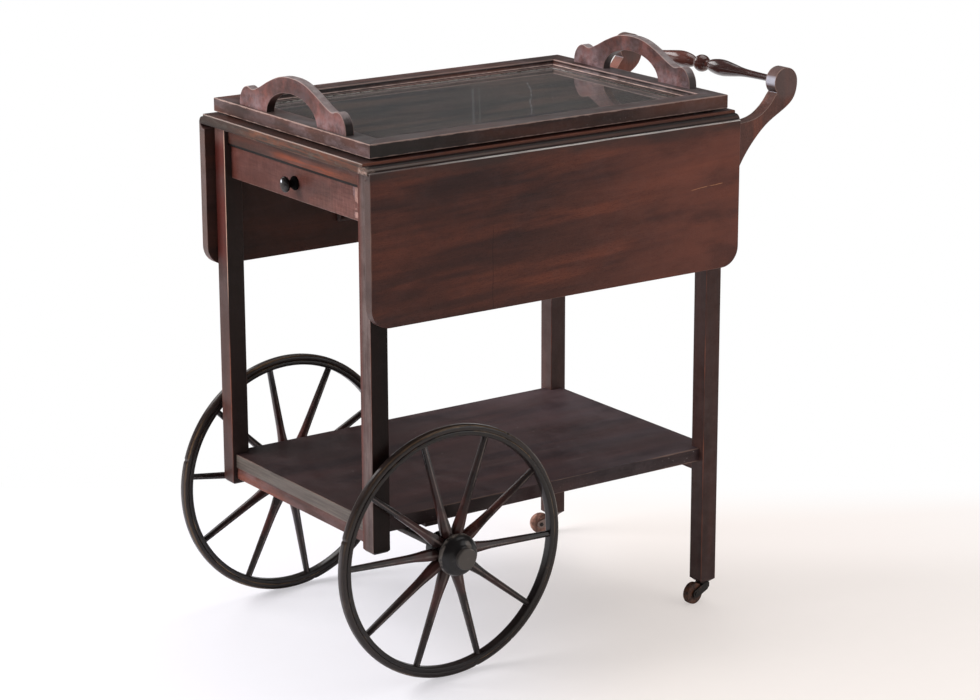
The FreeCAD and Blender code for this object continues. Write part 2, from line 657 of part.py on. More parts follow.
def casters():
    """Built under the left rear leg with the wheel trailing towards -X, then turned to its rest angle."""
    x = caster_x
    y = -caster_y
    foot = long_leg_foot
    plate_low = foot - caster_plate_thk
    bore = caster_stem_r + caster_running_gap
    socket = Part.makeCylinder(caster_plate_r, caster_plate_thk, V(x, y, plate_low))
    socket = socket.fuse(Part.makeCylinder(caster_socket_r, caster_stem_len + caster_gap, V(x, y, foot)))
    socket = socket.cut(Part.makeCylinder(bore, caster_stem_len + caster_plate_thk, V(x, y, plate_low)))
    keep("caster_sockets", together(both_y(socket.removeSplitter())))
    crown_top = plate_low - caster_gap
    crown_low = crown_top - fork_crown_h
    inner = caster_w / 2 + fork_cheek_gap
    outer = inner + fork_cheek_thk
    crown = Part.makeCylinder(fork_crown_r, fork_crown_h, V(x, y, crown_low))
    crown = crown.common(box(x - fork_crown_back, x + fork_crown_r, y - fork_crown_r, y + fork_crown_r,
                             crown_low, crown_top))
    stem = Part.makeCylinder(caster_stem_r, caster_stem_len + caster_plate_thk, V(x, y, crown_top))
    ax = x - caster_trail
    az = caster_r
    nose = fork_crown_r * 0.8
    outline = [(x - fork_crown_back, crown_top), (x + nose, crown_top), (x + nose, crown_low - fork_boss_r / 3),
               (x + nose / 3, crown_low - fork_boss_r), (ax + fork_boss_r / 3, az - fork_boss_r * 0.94),
               (ax - fork_boss_r / 3, az + fork_boss_r * 0.94)]
    fork = crown.fuse(stem)
    for q in (y - outer, y + inner):
        cheek = face_of([(a, q, b) for a, b in outline]).extrude(V(0, fork_cheek_thk, 0))
        cheek = cheek.fuse(Part.makeCylinder(fork_boss_r, fork_cheek_thk, V(ax, q, az), V(0, 1, 0)))
        cheek = cheek.cut(Part.makeCylinder(caster_pin_r, fork_cheek_thk, V(ax, q, az), V(0, 1, 0)))
        fork = fork.fuse(cheek)
    fork = fork.removeSplitter()
    half = caster_w / 2
    hole = caster_pin_r + caster_running_gap
    wheel = lathe_y([(y - half, hole), (y - half, caster_r - 2 * caster_crown),
                     (y - half + caster_crown, caster_r - caster_crown / 2), (y - half / 2, caster_r),
                     (y + half / 2, caster_r), (y + half - caster_crown, caster_r - caster_crown / 2),
                     (y + half, caster_r - 2 * caster_crown), (y + half, hole)], ax, az)
    head = caster_pin_head_w
    pin = lathe_y([(y - outer - head, 0), (y - outer - head, caster_pin_head_r), (y - outer, caster_pin_head_r),
                   (y - outer, caster_pin_r), (y + outer, caster_pin_r), (y + outer, caster_pin_head_r),
                   (y + outer + head, caster_pin_head_r), (y + outer + head, 0)], ax, az)
    for name, turn, side in (("left", caster_turn_left, -1), ("right", caster_turn_right, 1)):
        for node, shape in (("caster_fork", fork), ("caster_wheel", wheel), ("caster_pin", pin)):
            shape = shape.copy()
            if side > 0:
                shape.translate(V(0, 2 * caster_y, 0))
            shape.rotate(V(x, side * caster_y, 0), V(0, 0, 1), turn)
            keep("%s_%s" % (node, name), shape)


def push_handle():
    rise = scroll_z - arm_foot_z

    def place(p):
        return (leg_out_x + p[0] * scroll_out, -arm_out_y, arm_foot_z + p[1] * rise)

    a = math.radians(notch_angle)
    notch = (scroll_x + scroll_r * math.cos(a), -arm_out_y, scroll_z + scroll_r * math.sin(a))
    top_root = (leg_out_x, -arm_out_y, arm_foot_z + arm_upper_shares[0][1] * rise)
    foot = (leg_out_x, -arm_out_y, arm_foot_z)
    upper = [place(p) for p in arm_upper_shares] + [notch]
    lower = [foot] + [place(p) for p in arm_lower_shares] + [(scroll_x + scroll_r, -arm_out_y, scroll_z)]
    edges = [line(foot, top_root), line(top_root, upper[0]), spline_edge(upper), line(upper[-1], lower[-1]),
             spline_edge(lower)]
    arm = Part.Face(Part.Wire(Part.__sortEdges__(edges))).extrude(V(0, arm_thk, 0))
    disc = Part.makeCylinder(scroll_r, arm_thk, V(scroll_x, -arm_out_y, scroll_z), V(0, 1, 0))
    arm = arm.fuse(disc).removeSplitter()
    end_r = bar_shares[-1][1] * bar_swell_r
    arm = arm.cut(Part.makeCylinder(end_r, bar_tenon, V(scroll_x, -arm_in_y - bar_tenon, scroll_z), V(0, 1, 0)))
    keep("push_arm_left", arm)
    keep("push_arm_right", mirrored(arm))
    neck_w = bar_shares[0][0] * arm_in_y
    neck_r = bar_shares[0][1] * bar_swell_r
    ball_w = bar_ball_len_share * neck_w
    outline = []
    for k in range(7):
        t = math.pi / 2 * k / 6 * 0.86
        outline.append((ball_w * math.sin(t), bar_ball_r * math.cos(t)))
    outline[-1] = (neck_w * 0.97, max(neck_r, outline[-1][1]))
    ball = spline_edge([(scroll_x, w, scroll_z + r) for w, r in outline])
    first = (scroll_x, neck_w, scroll_z + neck_r)
    swell = spline_edge([(scroll_x, s * arm_in_y, scroll_z + q * bar_swell_r) for s, q in bar_shares])
    last = (scroll_x, arm_in_y, scroll_z + end_r)
    tail = (scroll_x, arm_in_y + bar_tenon, scroll_z + end_r)
    edges = [ball, line((scroll_x, outline[-1][0], scroll_z + outline[-1][1]), first), swell, line(last, tail),
             line(tail, (scroll_x, arm_in_y + bar_tenon, scroll_z)),
             line((scroll_x, arm_in_y + bar_tenon, scroll_z), (scroll_x, 0, scroll_z)),
             line((scroll_x, 0, scroll_z), (scroll_x, 0, scroll_z + bar_ball_r))]
    half = Part.Face(Part.Wire(Part.__sortEdges__(edges))).revolve(V(scroll_x, 0, scroll_z), V(0, 1, 0), 360)
    keep("push_bar", half.fuse(mirrored(half)).removeSplitter())


def tray():
    cx = tray_shift_x
    hx = tray_half_x
    hy = tray_half_y
    drop = tray_h - glass_top_up
    section = [(0, 0), (0, tray_h), (tray_flat, tray_h)]
    section += [(tray_flat + a * mould_w, tray_h - b * drop) for a, b in mould_shares]
    section += [(tray_rebate, glass_top_up), (tray_rebate, 0)]
    reach = tray_flat + mould_w

    def mitred(length, width, axis):
        """A bar of the moulded section on the -X or -Y side, its ends cut to meet at the corners."""
        if axis == "x":
            bar = face_of([(cx - length, -width + a, tray_low + b) for a, b in section]).extrude(V(2 * length, 0, 0))
            cut = [(cx - length, -width), (cx + length, -width), (cx + length - reach, -width + reach),
                   (cx - length + reach, -width + reach)]
        else:
            bar = face_of([(cx - length + a, -width, tray_low + b) for a, b in section]).extrude(V(0, 2 * width, 0))
            cut = [(cx - length, -width), (cx - length + reach, -width + reach),
                   (cx - length + reach, width - reach), (cx - length, width)]
        shape = bar.common(face_of([(a, b, tray_low) for a, b in cut]).extrude(V(0, 0, tray_h)))
        near = arris / 10
        edge = -width if axis == "x" else cx - length

        def outer(e):
            pts = [v.Point for v in e.Vertexes]
            on = all(abs((p.y if axis == "x" else p.x) - edge) < near for p in pts)
            return on and along(e, 0 if axis == "x" else 1)

        return soften(shape, arris, outer)

    side = mitred(hx, hy, "x")
    end = mitred(hx, hy, "y")
    keep("tray_frame_sides", together(both_y(side)))
    keep("tray_frame_ends", together([end, end.mirror(V(cx, 0, 0), V(1, 0, 0))]))
    r = tray_rebate
    keep("tray_glass", box(cx - hx + r, cx + hx - r, -hy + r, hy - r, glass_top - glass_thk, glass_top))
    keep("tray_panel", box(cx - hx + r, cx + hx - r, -hy + r, hy - r,
                           glass_top - glass_thk - panel_thk, glass_top - glass_thk))
    feet = []
    for sx in (-1, 1):
        for sy in (-1, 1):
            feet.append(Part.makeCylinder(tray_foot_r, tray_lift - tray_rest_gap,
                                          V(cx + sx * (hx - tray_foot_in), sy * (hy - tray_foot_in),
                                            top_z + tray_rest_gap)))
    keep("tray_feet", together(feet))
    face_x = cx - hx + grip_edge_in
    grip_half_len = grip_len / 2
    grip_hole_half = grip_hole_len / 2
    pts = [(face_x, -a * grip_half_len, tray_top + b * grip_rise) for a, b in grip_shares]
    pts += [(face_x, a * grip_half_len, tray_top + b * grip_rise) for a, b in reversed(grip_shares[:-1])]
    foot_l = (face_x, -grip_half_len, tray_top)
    foot_r = (face_x, grip_half_len, tray_top)
    outline = Part.Wire(Part.__sortEdges__([spline_edge(pts), line(foot_r, foot_l)]))
    grip = Part.Face(outline).extrude(V(grip_thk, 0, 0))
    major = Part.Ellipse(V(face_x, grip_hole_half, tray_top), V(face_x, 0, tray_top + grip_hole_rise),
                         V(face_x, 0, tray_top))
    hole = Part.Face(Part.Wire([major.toShape()])).extrude(V(grip_thk, 0, 0))
    grip = grip.cut(hole)
    grip = soften(grip, grip_round, lambda e: e.BoundBox.ZMax > tray_top + grip_hole_rise / 2
                       and e.BoundBox.XLength < arris / 10)
    keep("tray_grip_front", grip)
    keep("tray_grip_rear", grip.mirror(V(cx, 0, 0), V(1, 0, 0)))


def main():
    legs()
    top()
    leaf()
    hinges()
    props()
    rails()
    drawer()
    shelf()
    axle()
    wheels()
    casters()
    push_handle()
    tray()
    os.makedirs("parts", exist_ok=True)
    for name, shape in parts.items():
        if not shape.isValid():
            print("not valid:", name)
        shape.exportStep(os.path.join("parts", name + ".step"))
        print(name, len(shape.Solids), round(shape.Volume / 1000, 2), "cm3")
    print(len(parts), "pieces")


main()
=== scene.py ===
"""Dresses a drop-leaf tea cart in worn mahogany, blackened wheels, iron and glass, on a pale studio floor.

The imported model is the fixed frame; every piece made here takes its place from that model's boxes.
Metres, +Z up. -X is the drawer end with the spoked wheels, +X the end with the push bar.
"""
import json
import math

import bmesh
import bpy
from bpy.props import FloatProperty, FloatVectorProperty, IntProperty, PointerProperty
from bpy.types import Operator, Panel, PropertyGroup
from mathutils import Matrix, Vector, noise

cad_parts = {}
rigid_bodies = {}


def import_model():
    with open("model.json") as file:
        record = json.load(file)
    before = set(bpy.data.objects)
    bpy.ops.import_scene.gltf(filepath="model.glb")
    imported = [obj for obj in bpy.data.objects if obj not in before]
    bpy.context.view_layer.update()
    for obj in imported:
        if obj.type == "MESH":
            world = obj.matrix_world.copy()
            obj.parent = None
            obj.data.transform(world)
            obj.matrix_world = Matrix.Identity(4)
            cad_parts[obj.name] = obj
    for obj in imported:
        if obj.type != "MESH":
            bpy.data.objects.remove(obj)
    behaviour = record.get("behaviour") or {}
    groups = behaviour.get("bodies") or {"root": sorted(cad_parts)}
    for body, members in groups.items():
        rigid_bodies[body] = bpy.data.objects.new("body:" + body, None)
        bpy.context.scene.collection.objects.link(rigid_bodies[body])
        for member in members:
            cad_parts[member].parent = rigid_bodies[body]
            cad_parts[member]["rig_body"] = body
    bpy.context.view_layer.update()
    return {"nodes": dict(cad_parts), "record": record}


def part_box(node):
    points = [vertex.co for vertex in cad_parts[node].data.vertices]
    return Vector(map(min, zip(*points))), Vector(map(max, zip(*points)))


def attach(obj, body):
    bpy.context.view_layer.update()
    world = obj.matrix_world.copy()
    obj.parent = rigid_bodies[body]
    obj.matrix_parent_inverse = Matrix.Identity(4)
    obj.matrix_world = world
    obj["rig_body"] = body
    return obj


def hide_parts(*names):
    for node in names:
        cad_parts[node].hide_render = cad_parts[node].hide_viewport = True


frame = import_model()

bl_info = {
    "name": "Tea Cart",
    "version": (1, 0, 0),
    "blender": (4, 5, 0),
    "location": "3D View > Sidebar > Tea Cart",
    "description": "Dresses a drop-leaf tea cart in worn mahogany, iron and glass",
    "category": "Add Mesh",
}

top_low, top_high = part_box("table_top")
leaf_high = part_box("leaf_left")[1]
drawer_low, drawer_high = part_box("drawer_front")
tray_low, tray_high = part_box("tray_frame_sides")
tyre_low, tyre_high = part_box("wheel_tyre_left")
felloe_low, felloe_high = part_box("wheel_felloe_left")
WHEEL_X = (tyre_low.x + tyre_high.x) / 2
WHEEL_Y = abs(tyre_low.y + tyre_high.y) / 2
WHEEL_R = (tyre_high.z - tyre_low.z) / 2
FELLOE_R = felloe_high.z - WHEEL_R
DOME_R, CAP_R = 0.0292, 0.015  # the hub's dome and its cap
MOULDING_INSET, GLASS_INSET = 0.029, 0.039  # in from the tray's outline
JOINT_Y = 0.203  # the top's rule joints start here on either side
QUIRK_Z, FILLET_Z = 0.7178, 0.719  # the heights of the joint's quirk, darkened with painted shade, and of the fillet over it
DRAWER_GAP_SHADE = 0.97  # how dark the painted shade along the gap over the drawer is
VIEW_SIN, VIEW_COS = 0.573, 0.819  # of the camera's azimuth, for the floor's light
SMALL_EASE = 0.0004
SLOTS = {row["node"]: row["material_slot"] for row in frame["record"]["subparts"]}


def tint(r, g, b):
    """A colour as paint charts give it, 0 to 255 a channel, made linear."""
    return tuple(c / 255 / 12.92 if c <= 10 else ((c / 255 + 0.055) / 1.055) ** 2.4 for c in (r, g, b)) + (1.0,)


def linear(value):
    """A colour for a socket: three numbers count from 0 to 255, anything else is ready."""
    return tint(*value) if isinstance(value, tuple) and len(value) == 3 else value


def span(a, b):
    """Length of the diagonal of a and b."""
    return (a ** 2 + b ** 2) ** 0.5


def colour(name, text, rgb):
    return FloatVectorProperty(name=name, description=text, subtype="COLOR", size=4, min=0.0, max=1.0,
                               default=tint(*rgb))


def length(name, text, default, low, high):
    return FloatProperty(name=name, description=text, default=default, min=low, max=high, unit="LENGTH")


def first_angle(name, text, degrees):
    return FloatProperty(name=name, description=text, default=math.radians(degrees), subtype="ANGLE")


def power(name, text, default):
    return FloatProperty(name=name, description=text, default=default, min=0.0, unit="POWER")


class WoodSettings(PropertyGroup):
    dark: colour("Dark streaks", "Smoky bands that run along the grain", (45, 31, 30))
    heart: colour("Heartwood", "The common brown between the bands", (74, 44, 37))
    red: colour("Red figure", "The warm red of the mahogany figure", (104, 56, 42))
    arris: colour("Worn arris", "Bare wood on rubbed edges", (134, 108, 98))
    haze: colour("Old polish", "The lilac bloom of perished polish", (136, 120, 124))
    end: colour("End grain", "The greyer brown of the boards' ends", (80, 66, 62))
    shelf: colour("Shelf brown", "The greyer brown of the lower shelf", (64, 47, 47))
    drawer: colour("Drawer lining", "Unfinished wood of the drawer box", (150, 116, 82))
    band_length: length("Band length", "Length of a smoky band along the grain", 0.24, 0.02, 2.0)
    band_width: length("Band width", "Width of a smoky band across the grain", 0.034, 0.002, 0.3)
    pore_width: length("Pore width", "Width of the open pores", 0.0008, 0.0003, 0.01)
    edge_ease: length("Edge easing", "Width of the softened edges", 0.0007, 0.0001, 0.004)


class WheelSettings(PropertyGroup):
    spokes: IntProperty(name="Spokes", description="Spokes in each wheel", default=10, min=3, max=24)
    root_width: length("Root width", "Widest part of a spoke", 0.016, 0.004, 0.04)
    root_depth: length("Root depth", "Thickness of a spoke at its root", 0.0152, 0.004, 0.04)
    seat: length("Seat radius", "Radius at which the spokes enter the hub", 0.0242, 0.005, 0.1)
    left_turn: first_angle("Left turn", "Angle of the left wheel's first spoke", -2.7)
    right_turn: first_angle("Right turn", "Angle of the right wheel's first spoke", -8.2)
    black: colour("Wheel black", "The black of the rims and hubs", (31, 25, 24))
    root_red: colour("Spoke red", "The reddish wood near the hub", (74, 38, 34))
    worn: colour("Worn tan", "Rubbed tan on the tyre's shoulder", (124, 98, 72))


class StageSettings(PropertyGroup):
    key_power: power("Key", "Power of the large softbox", 118.0)
    top_power: power("Top", "Power of the overhead panel", 26.0)
    back_power: power("Back", "Power of the strip behind", 20.0)
    fill_power: power("Fill", "Power of the front panel", 15.0)
    ambient: FloatProperty(name="Ambient", description="Level of the room's even light", default=0.34, min=0.0,
                           max=2.0)
    floor: colour("Floor", "The pale studio floor", (251, 243, 237))


class CartSettings(PropertyGroup):
    wood: PointerProperty(type=WoodSettings, name="Wood", description="Colours and scale of the mahogany")
    wheel: PointerProperty(type=WheelSettings, name="Wheels", description="Sizes and colours of the wheels")
    stage: PointerProperty(type=StageSettings, name="Stage", description="Studio floor and lamps")


class Val:
    """A value inside a node tree. Python's operators add the Math nodes."""

    def __init__(self, graph, socket):
        self.graph = graph
        self.socket = socket

    def op(self, kind, *others):
        return self.graph.maths(kind, self, *others)

    def __add__(self, other):
        return self.op("ADD", other)

    def __sub__(self, other):
        return self.op("SUBTRACT", other)

    def __rsub__(self, other):
        return self.graph.maths("SUBTRACT", other, self)

    def __mul__(self, other):
        return self.op("MULTIPLY", other)

    def __truediv__(self, other):
        return self.op("DIVIDE", other)

    def __pow__(self, other):
        return self.op("POWER", other)

    def __abs__(self):
        return self.op("ABSOLUTE")

    __radd__ = __add__
    __rmul__ = __mul__


class Graph:
    """A node tree, and the one method that adds a node to it."""

    def __init__(self, tree):
        self.tree = tree

    def node(self, kind, settings=None, sockets=None, out=0):
        made = self.tree.nodes.new(kind)
        for key, value in (settings or {}).items():
            if key == "stops":
                while len(made.color_ramp.elements) < len(value):
                    made.color_ramp.elements.new(0.5)
                for stop, (place, shade) in zip(made.color_ramp.elements, value):
                    stop.position = place
                    stop.color = shade
            else:
                setattr(made, key, value)
        for key, value in (sockets or {}).items():
            if isinstance(value, Val):
                self.tree.links.new(value.socket, made.inputs[key])
            else:
                made.inputs[key].default_value = value
        return Val(self, made.outputs[out]) if made.outputs else made

    def maths(self, kind, *values):
        return self.node("ShaderNodeMath", {"operation": kind}, dict(enumerate(values)))

    def smooth(self, value, low, high):
        """0 at low, 1 at high, eased between."""
        return self.node("ShaderNodeMapRange", {"interpolation_type": "SMOOTHSTEP"}, {0: value, 1: low, 2: high})

    def fade(self, value, low, high):
        """1 at low, 0 at high, eased between."""
        return 1 - self.smooth(value, low, high)

    def vector(self, kind, *values):
        return self.node("ShaderNodeVectorMath", {"operation": kind}, dict(enumerate(values)))

    def split(self, value):
        made = self.node("ShaderNodeSeparateXYZ", None, {0: value})
        return [Val(self, s) for s in made.socket.node.outputs]

    def join(self, x, y, z):
        return self.node("ShaderNodeCombineXYZ", None, {0: x, 1: y, 2: z})

    def rays(self):
        """1 for rays straight from the camera, for mirrored rays, and for rays through the glass."""
        path = self.node("ShaderNodeLightPath").socket.node
        return [Val(self, path.outputs[k]) for k in ("Is Camera Ray", "Is Glossy Ray", "Is Transmission Ray")]


class Finish(Graph):
    """A material made of nodes on Object coordinates. It keeps the shade and roughness that it has so far."""

    def __init__(self, name):
        self.material = bpy.data.materials.new(name)
        self.material.use_nodes = True
        super().__init__(self.material.node_tree)
        self.tree.nodes.clear()
        self.place = self.node("ShaderNodeTexCoord", out=3)
        self.shade = None
        self.rough = 0.5

    @property
    def at(self):
        """The place as x, y and z."""
        return self.split(self.place)

    @property
    def facing(self):
        """The normal as x, y and z."""
        return self.split(self.node("ShaderNodeTexCoord", out=1))

    def towards(self, part, low=0.7):
        """1 where this part of the normal is high: the surface looks that way."""
        return self.smooth(part, low, 0.9)

    def mix(self, a, b, share):
        return self.node("ShaderNodeMix", {"data_type": "RGBA"}, {0: share, 6: linear(a), 7: linear(b)}, out=2)

    def multiply(self, a, b, share=1.0):
        return self.node("ShaderNodeMix", {"data_type": "RGBA", "blend_type": "MULTIPLY"},
                         {0: share, 6: linear(a), 7: b}, out=2)

    def darken(self, shade, share):
        """Multiplies a colour by a number."""
        return self.multiply(shade, self.join(share, share, share))

    def tinge(self, other, share):
        """Mixes a colour into the shade so far."""
        self.shade = self.mix(self.shade, other, share)

    def dim(self, share):
        """Multiplies the shade so far."""
        self.shade = self.darken(self.shade, share)

    def noise(self, scale, detail=3.0, rough=0.6, place=None, out=0):
        """Noise at one scale, or stretched by three."""
        place = place or self.place
        if isinstance(scale, tuple):
            place, scale = self.vector("MULTIPLY", place, scale), 1.0
        return self.node("ShaderNodeTexNoise", None,
                         {"Vector": place, "Scale": scale, "Detail": detail, "Roughness": rough}, out=out)

    def blots(self, scale, low, high, detail=3.0, rough=0.6, place=None):
        """Patches of noise, 0 where it is under low and 1 over high."""
        return self.smooth(self.noise(scale, detail, rough, place), low, high)

    def dots(self, scale, size, share):
        """Round specks of dust on a level surface: one in some of the cells of a grid, size as a part of a cell."""
        flat = self.vector("MULTIPLY", self.place, (1.0, 1.0, 0.0))
        cell = self.node("ShaderNodeTexVoronoi", None, {"Vector": flat, "Scale": scale})
        chance = self.split(Val(self, cell.socket.node.outputs["Color"]))[0]
        return self.fade(cell, size * 0.5, size) * self.smooth(chance, 0.99 - share, 1.0 - share)

    def ramp(self, value, *stops):
        """A level read off the line through (place, level) stops."""
        return self.node("ShaderNodeValToRGB", {"stops": [(at, (tone, tone, tone, 1)) for at, tone in stops]},
                         {0: value})

    def along(self, grain, seed, slant):
        """The place with the grain turned to run along its first axis."""
        turn = {"x": (0.0, slant, 0.0), "y": (0.0, 0.0, math.pi / 2), "z": (0.0, math.pi / 2, 0.0)}[grain]
        return self.node("ShaderNodeMapping", None,
                         {"Vector": self.place, "Location": (seed, seed * 0.37, seed * 0.71), "Rotation": turn})

    def depth(self, k, box):
        """Distance inward from the nearer face of a box across axis k."""
        low, high = box
        return (high[k] - low[k]) / 2 - abs(self.at[k] - (high[k] + low[k]) / 2)

    def edge(self, box):
        """Distance from the nearest edge of a box."""
        a, b, c = (self.depth(k, box) for k in range(3))
        return a.op("MINIMUM", b).op("MAXIMUM", a.op("MAXIMUM", b).op("MINIMUM", c))

    def radius(self):
        """Distance from the line of the axle."""
        x, y, z = self.at
        return span(x - WHEEL_X, z - WHEEL_R)

    def end(self, shader):
        self.node("ShaderNodeOutputMaterial", None, {"Surface": shader})
        return self.material

    def surface(self, bump=None, depth=0.0003, strength=0.6, **constants):
        sockets = {"Base Color": self.shade, "Roughness": self.rough}
        if bump is not None:
            sockets["Normal"] = self.node("ShaderNodeBump", None,
                                          {"Strength": strength, "Distance": depth, "Height": bump})
        sockets.update({key.replace("_", " "): value for key, value in constants.items()})
        return self.end(self.node("ShaderNodeBsdfPrincipled", None, sockets))

    def blend(self, share, first, second):
        return self.end(self.node("ShaderNodeMixShader", None, {0: share, 1: first, 2: second}))


def mahogany(name, grain="x", box=None, seed=0.0, slant=0.0, tones=None, wear=1.0, wear_width=0.0022,
             rough=0.42, dust=0.0, haze=0.15, figured=1.0, smoke=1.0, ends=0.55, marks=None, gloss=0.16,
             worn=None, pored=1.0):
    """Old varnished mahogany: smoky bands, red figure, open pores, bloomed polish, rubbed edges and dust."""
    wood = bpy.context.scene.tea_cart.wood
    dark, heart, red = tones or (wood.dark, wood.heart, wood.red)
    f = Finish(name)
    p = f.along(grain, seed, slant)
    drift = f.vector("SUBTRACT", f.noise((1.6, 7.0, 7.0), 1.5, 0.5, p, out=1), (0.5, 0.5, 0.5))
    q = f.vector("MULTIPLY_ADD", drift, (0.0, 0.04, 0.04), p)
    run, across, pores = 1 / wood.band_length, 1 / wood.band_width, 1 / wood.pore_width
    smoky = f.fade(f.noise((run, across, across), 4.0, 0.55, q), 0.34, 0.56)
    figure = f.blots((run * 0.8, across * 0.7, across * 1.1), 0.42, 0.66, 3.0, 0.55, q)
    streak = f.noise((run * 1.6, across * 4.5, across * 4.5), 3.0, 0.6, q)
    fine = f.noise((run * 22, across * 26, across * 26), 2.0, 0.65, q)
    pore = f.blots((pores * 0.16, pores, pores), 0.54, 0.7, 1.0, 0.5, p)
    f.shade = f.mix(heart, red, figure * figured)
    f.tinge(dark, smoky * 0.72 * smoke + f.fade(streak, 0.36, 0.6) * 0.25)
    normal = f.facing
    f.tinge(wood.end, f.smooth(abs(normal["xyz".index(grain)]), 0.7, 0.95) * ends)
    f.dim((0.52 + 0.48 * fine + 0.52 * f.noise(620.0, 2.0)) * (1 - 0.26 * pored * pore))
    cloud = f.blots((40.0, 19.0, 46.0), 0.42, 0.64, 6.0, 0.66) * (0.35 + 0.65 * f.blots(11.0, 0.35, 0.62, 2.0, 0.5))
    f.tinge(wood.haze, cloud * haze * 0.62)
    f.rough = rough + 0.16 * (f.noise(9.0) - 0.5) + 0.12 * cloud * haze
    if box is not None:
        patch = f.blots(9.0, 0.3, 0.72, 2.0, 0.5)
        reach = wear_width * (0.2 + 1.1 * f.noise(70.0, 3.0, 0.65) * patch)
        rubbed = f.fade(f.edge(box) / reach, 0.45, 1.0) * wear * (0.25 + 0.75 * patch)
        f.tinge(worn or wood.arris, rubbed * 0.7)
        f.rough = f.rough + 0.08 * rubbed
    if dust > 0:
        level = f.towards(normal[2], 0.6)
        patch = f.blots(9.0, 0.36, 0.66, 2.0, 0.5)
        speck = level * (f.dots(70.0, 0.075, 0.3) * patch + f.dots(26.0, 0.036, 0.35)) + (
            1 - level) * f.blots(420.0, 0.72, 0.8, 1.0, 0.5) * patch
        hair = f.blots((9.0, 420.0, 420.0), 0.66, 0.76, 2.0, 0.5, p) * level
        f.tinge((176, 166, 162), (speck * 0.9 + hair * patch * 0.22).op("MINIMUM", 1.0) * dust)
    if marks:
        marks(f)
    height = 0.5 * fine - 0.7 * pored * pore + 0.5 * f.noise(40.0, 3.0, 0.55)
    return f.surface(height, strength=0.3, Specular_IOR_Level=gloss)


def blackened(name, base, worn, red=None, rough=0.5, coat=0.35, scuff=1.0, edge=None):
    """Black paint or stain gone dull on old wood, with scuffs and a faint grain."""
    f = Finish(name)
    broad = f.blots(12.0, 0.35, 0.7)
    fine = f.noise(160.0)
    f.shade = f.darken(base, 0.7 + 0.35 * broad + 0.35 * fine)
    if red is not None:
        f.tinge(red, f.fade(f.radius(), 0.05, 0.15) * (0.08 + 0.62 * f.blots(24.0, 0.36, 0.62, 2.0, 0.5)))
    scratch = f.blots(55.0, 0.6, 0.78, 4.0, 0.7)
    if edge is not None:
        # edge marks: wear and dirt, and on the spokes a painted highlight along the ridge
        rubbed = edge(f)
        f.tinge(worn, rubbed)
        scratch = scratch + rubbed
    f.tinge(worn, scratch * 0.22 * scuff)
    f.rough = rough + 0.16 * (broad - 0.5) + 0.1 * (fine - 0.5)
    return f.surface(fine + scratch * 0.4, strength=0.5, Specular_IOR_Level=0.2, Coat_Weight=coat,
                     Coat_Roughness=0.16)


def metal(name, base, rust, rough=0.5, metallic=0.7, amount=0.5):
    """Old metal with a bloom of rust, more of it for a larger amount."""
    f = Finish(name)
    broad = f.blots(90.0, 0.62 - 0.25 * amount, 0.8 - 0.1 * amount, 4.0, 0.65)
    fine = f.noise(700.0)
    f.shade = f.mix(f.darken(base, 0.75 + 0.5 * fine), rust, broad)
    f.rough = rough + 0.2 * broad + 0.1 * (fine - 0.5)
    return f.surface(fine + broad, 0.0002, 0.5, Metallic=metallic * (1 - 0.8 * broad))


def settle(piece, body, slot, *nodes):
    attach(piece, body)
    if nodes:
        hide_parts(*nodes)


def stand_in(piece, node):
    """Lets a piece stand for a model node: puts it on that node's body and hides the node."""
    settle(piece, frame["nodes"][node]["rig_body"], SLOTS[node], node)


def paint(material, *nodes):
    """Gives model nodes their finish."""
    for node in nodes:
        mesh = frame["nodes"][node].data
        mesh.materials.clear()
        mesh.materials.append(material)


def add_object(name, mesh, material, sharp=32.0):
    mesh.name = name
    mesh.materials.clear()
    mesh.materials.append(material)
    mesh.polygons.foreach_set("use_smooth", [True] * len(mesh.polygons))
    mesh.set_sharp_from_angle(angle=math.radians(sharp))
    piece = bpy.data.objects.new(name, mesh)
    bpy.context.scene.collection.objects.link(piece)
    return piece


def add_mesh(name, bm, material, sharp=32.0):
    mesh = bpy.data.meshes.new(name)
    bm.to_mesh(mesh)
    bm.free()
    return add_object(name, mesh, material, sharp)


def evaluated(holder):
    """A plain mesh of an object with its modifier applied."""
    return bpy.data.meshes.new_from_object(holder.evaluated_get(bpy.context.evaluated_depsgraph_get()))


def bevel(bm, edges, ease):
    bmesh.ops.bevel(bm, geom=edges, offset=ease, offset_type="OFFSET", segments=2, profile=0.5, affect="EDGES",
                    clamp_overlap=True)


def add_weighed(name, bm, material):
    """Adds an eased mesh with its broad faces kept flat, so that only the eased edges turn the light."""
    piece = add_mesh(name, bm, material, 40.0)
    modifier = piece.modifiers.new("weigh", "WEIGHTED_NORMAL")
    modifier.keep_sharp = True
    mesh = evaluated(piece)
    piece.modifiers.remove(modifier)
    mesh.name = piece.name
    piece.data = mesh
    return piece


def dress(node, grain, rubbed=True, ease=None, **look):
    """Puts an eased mahogany copy of a model node in that node's place, with rubbed edges unless told not to."""
    material = mahogany(node, grain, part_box(node) if rubbed else None, **look)
    bm = bmesh.new()
    bm.from_mesh(frame["nodes"][node].data)
    bmesh.ops.remove_doubles(bm, verts=bm.verts, dist=0.00001)
    bmesh.ops.dissolve_limit(bm, angle_limit=math.radians(0.4), verts=bm.verts, edges=bm.edges)
    hard = [e for e in bm.edges if len(e.link_faces) == 2 and e.calc_face_angle(0.0) > math.radians(38)]
    bevel(bm, hard, ease or bpy.context.scene.tea_cart.wood.edge_ease)
    bmesh.ops.triangulate(bm, faces=bm.faces)
    stand_in(add_weighed(node + "_wood", bm, material), node)


def box_piece(name, low, high, material):
    bm = bmesh.new()
    bmesh.ops.create_cube(bm, size=1.0)
    for v in bm.verts:
        v.co = Vector((low[k] + (high[k] - low[k]) * (v.co[k] + 0.5) for k in range(3)))
    bevel(bm, list(bm.edges), SMALL_EASE)
    return add_weighed(name, bm, material)


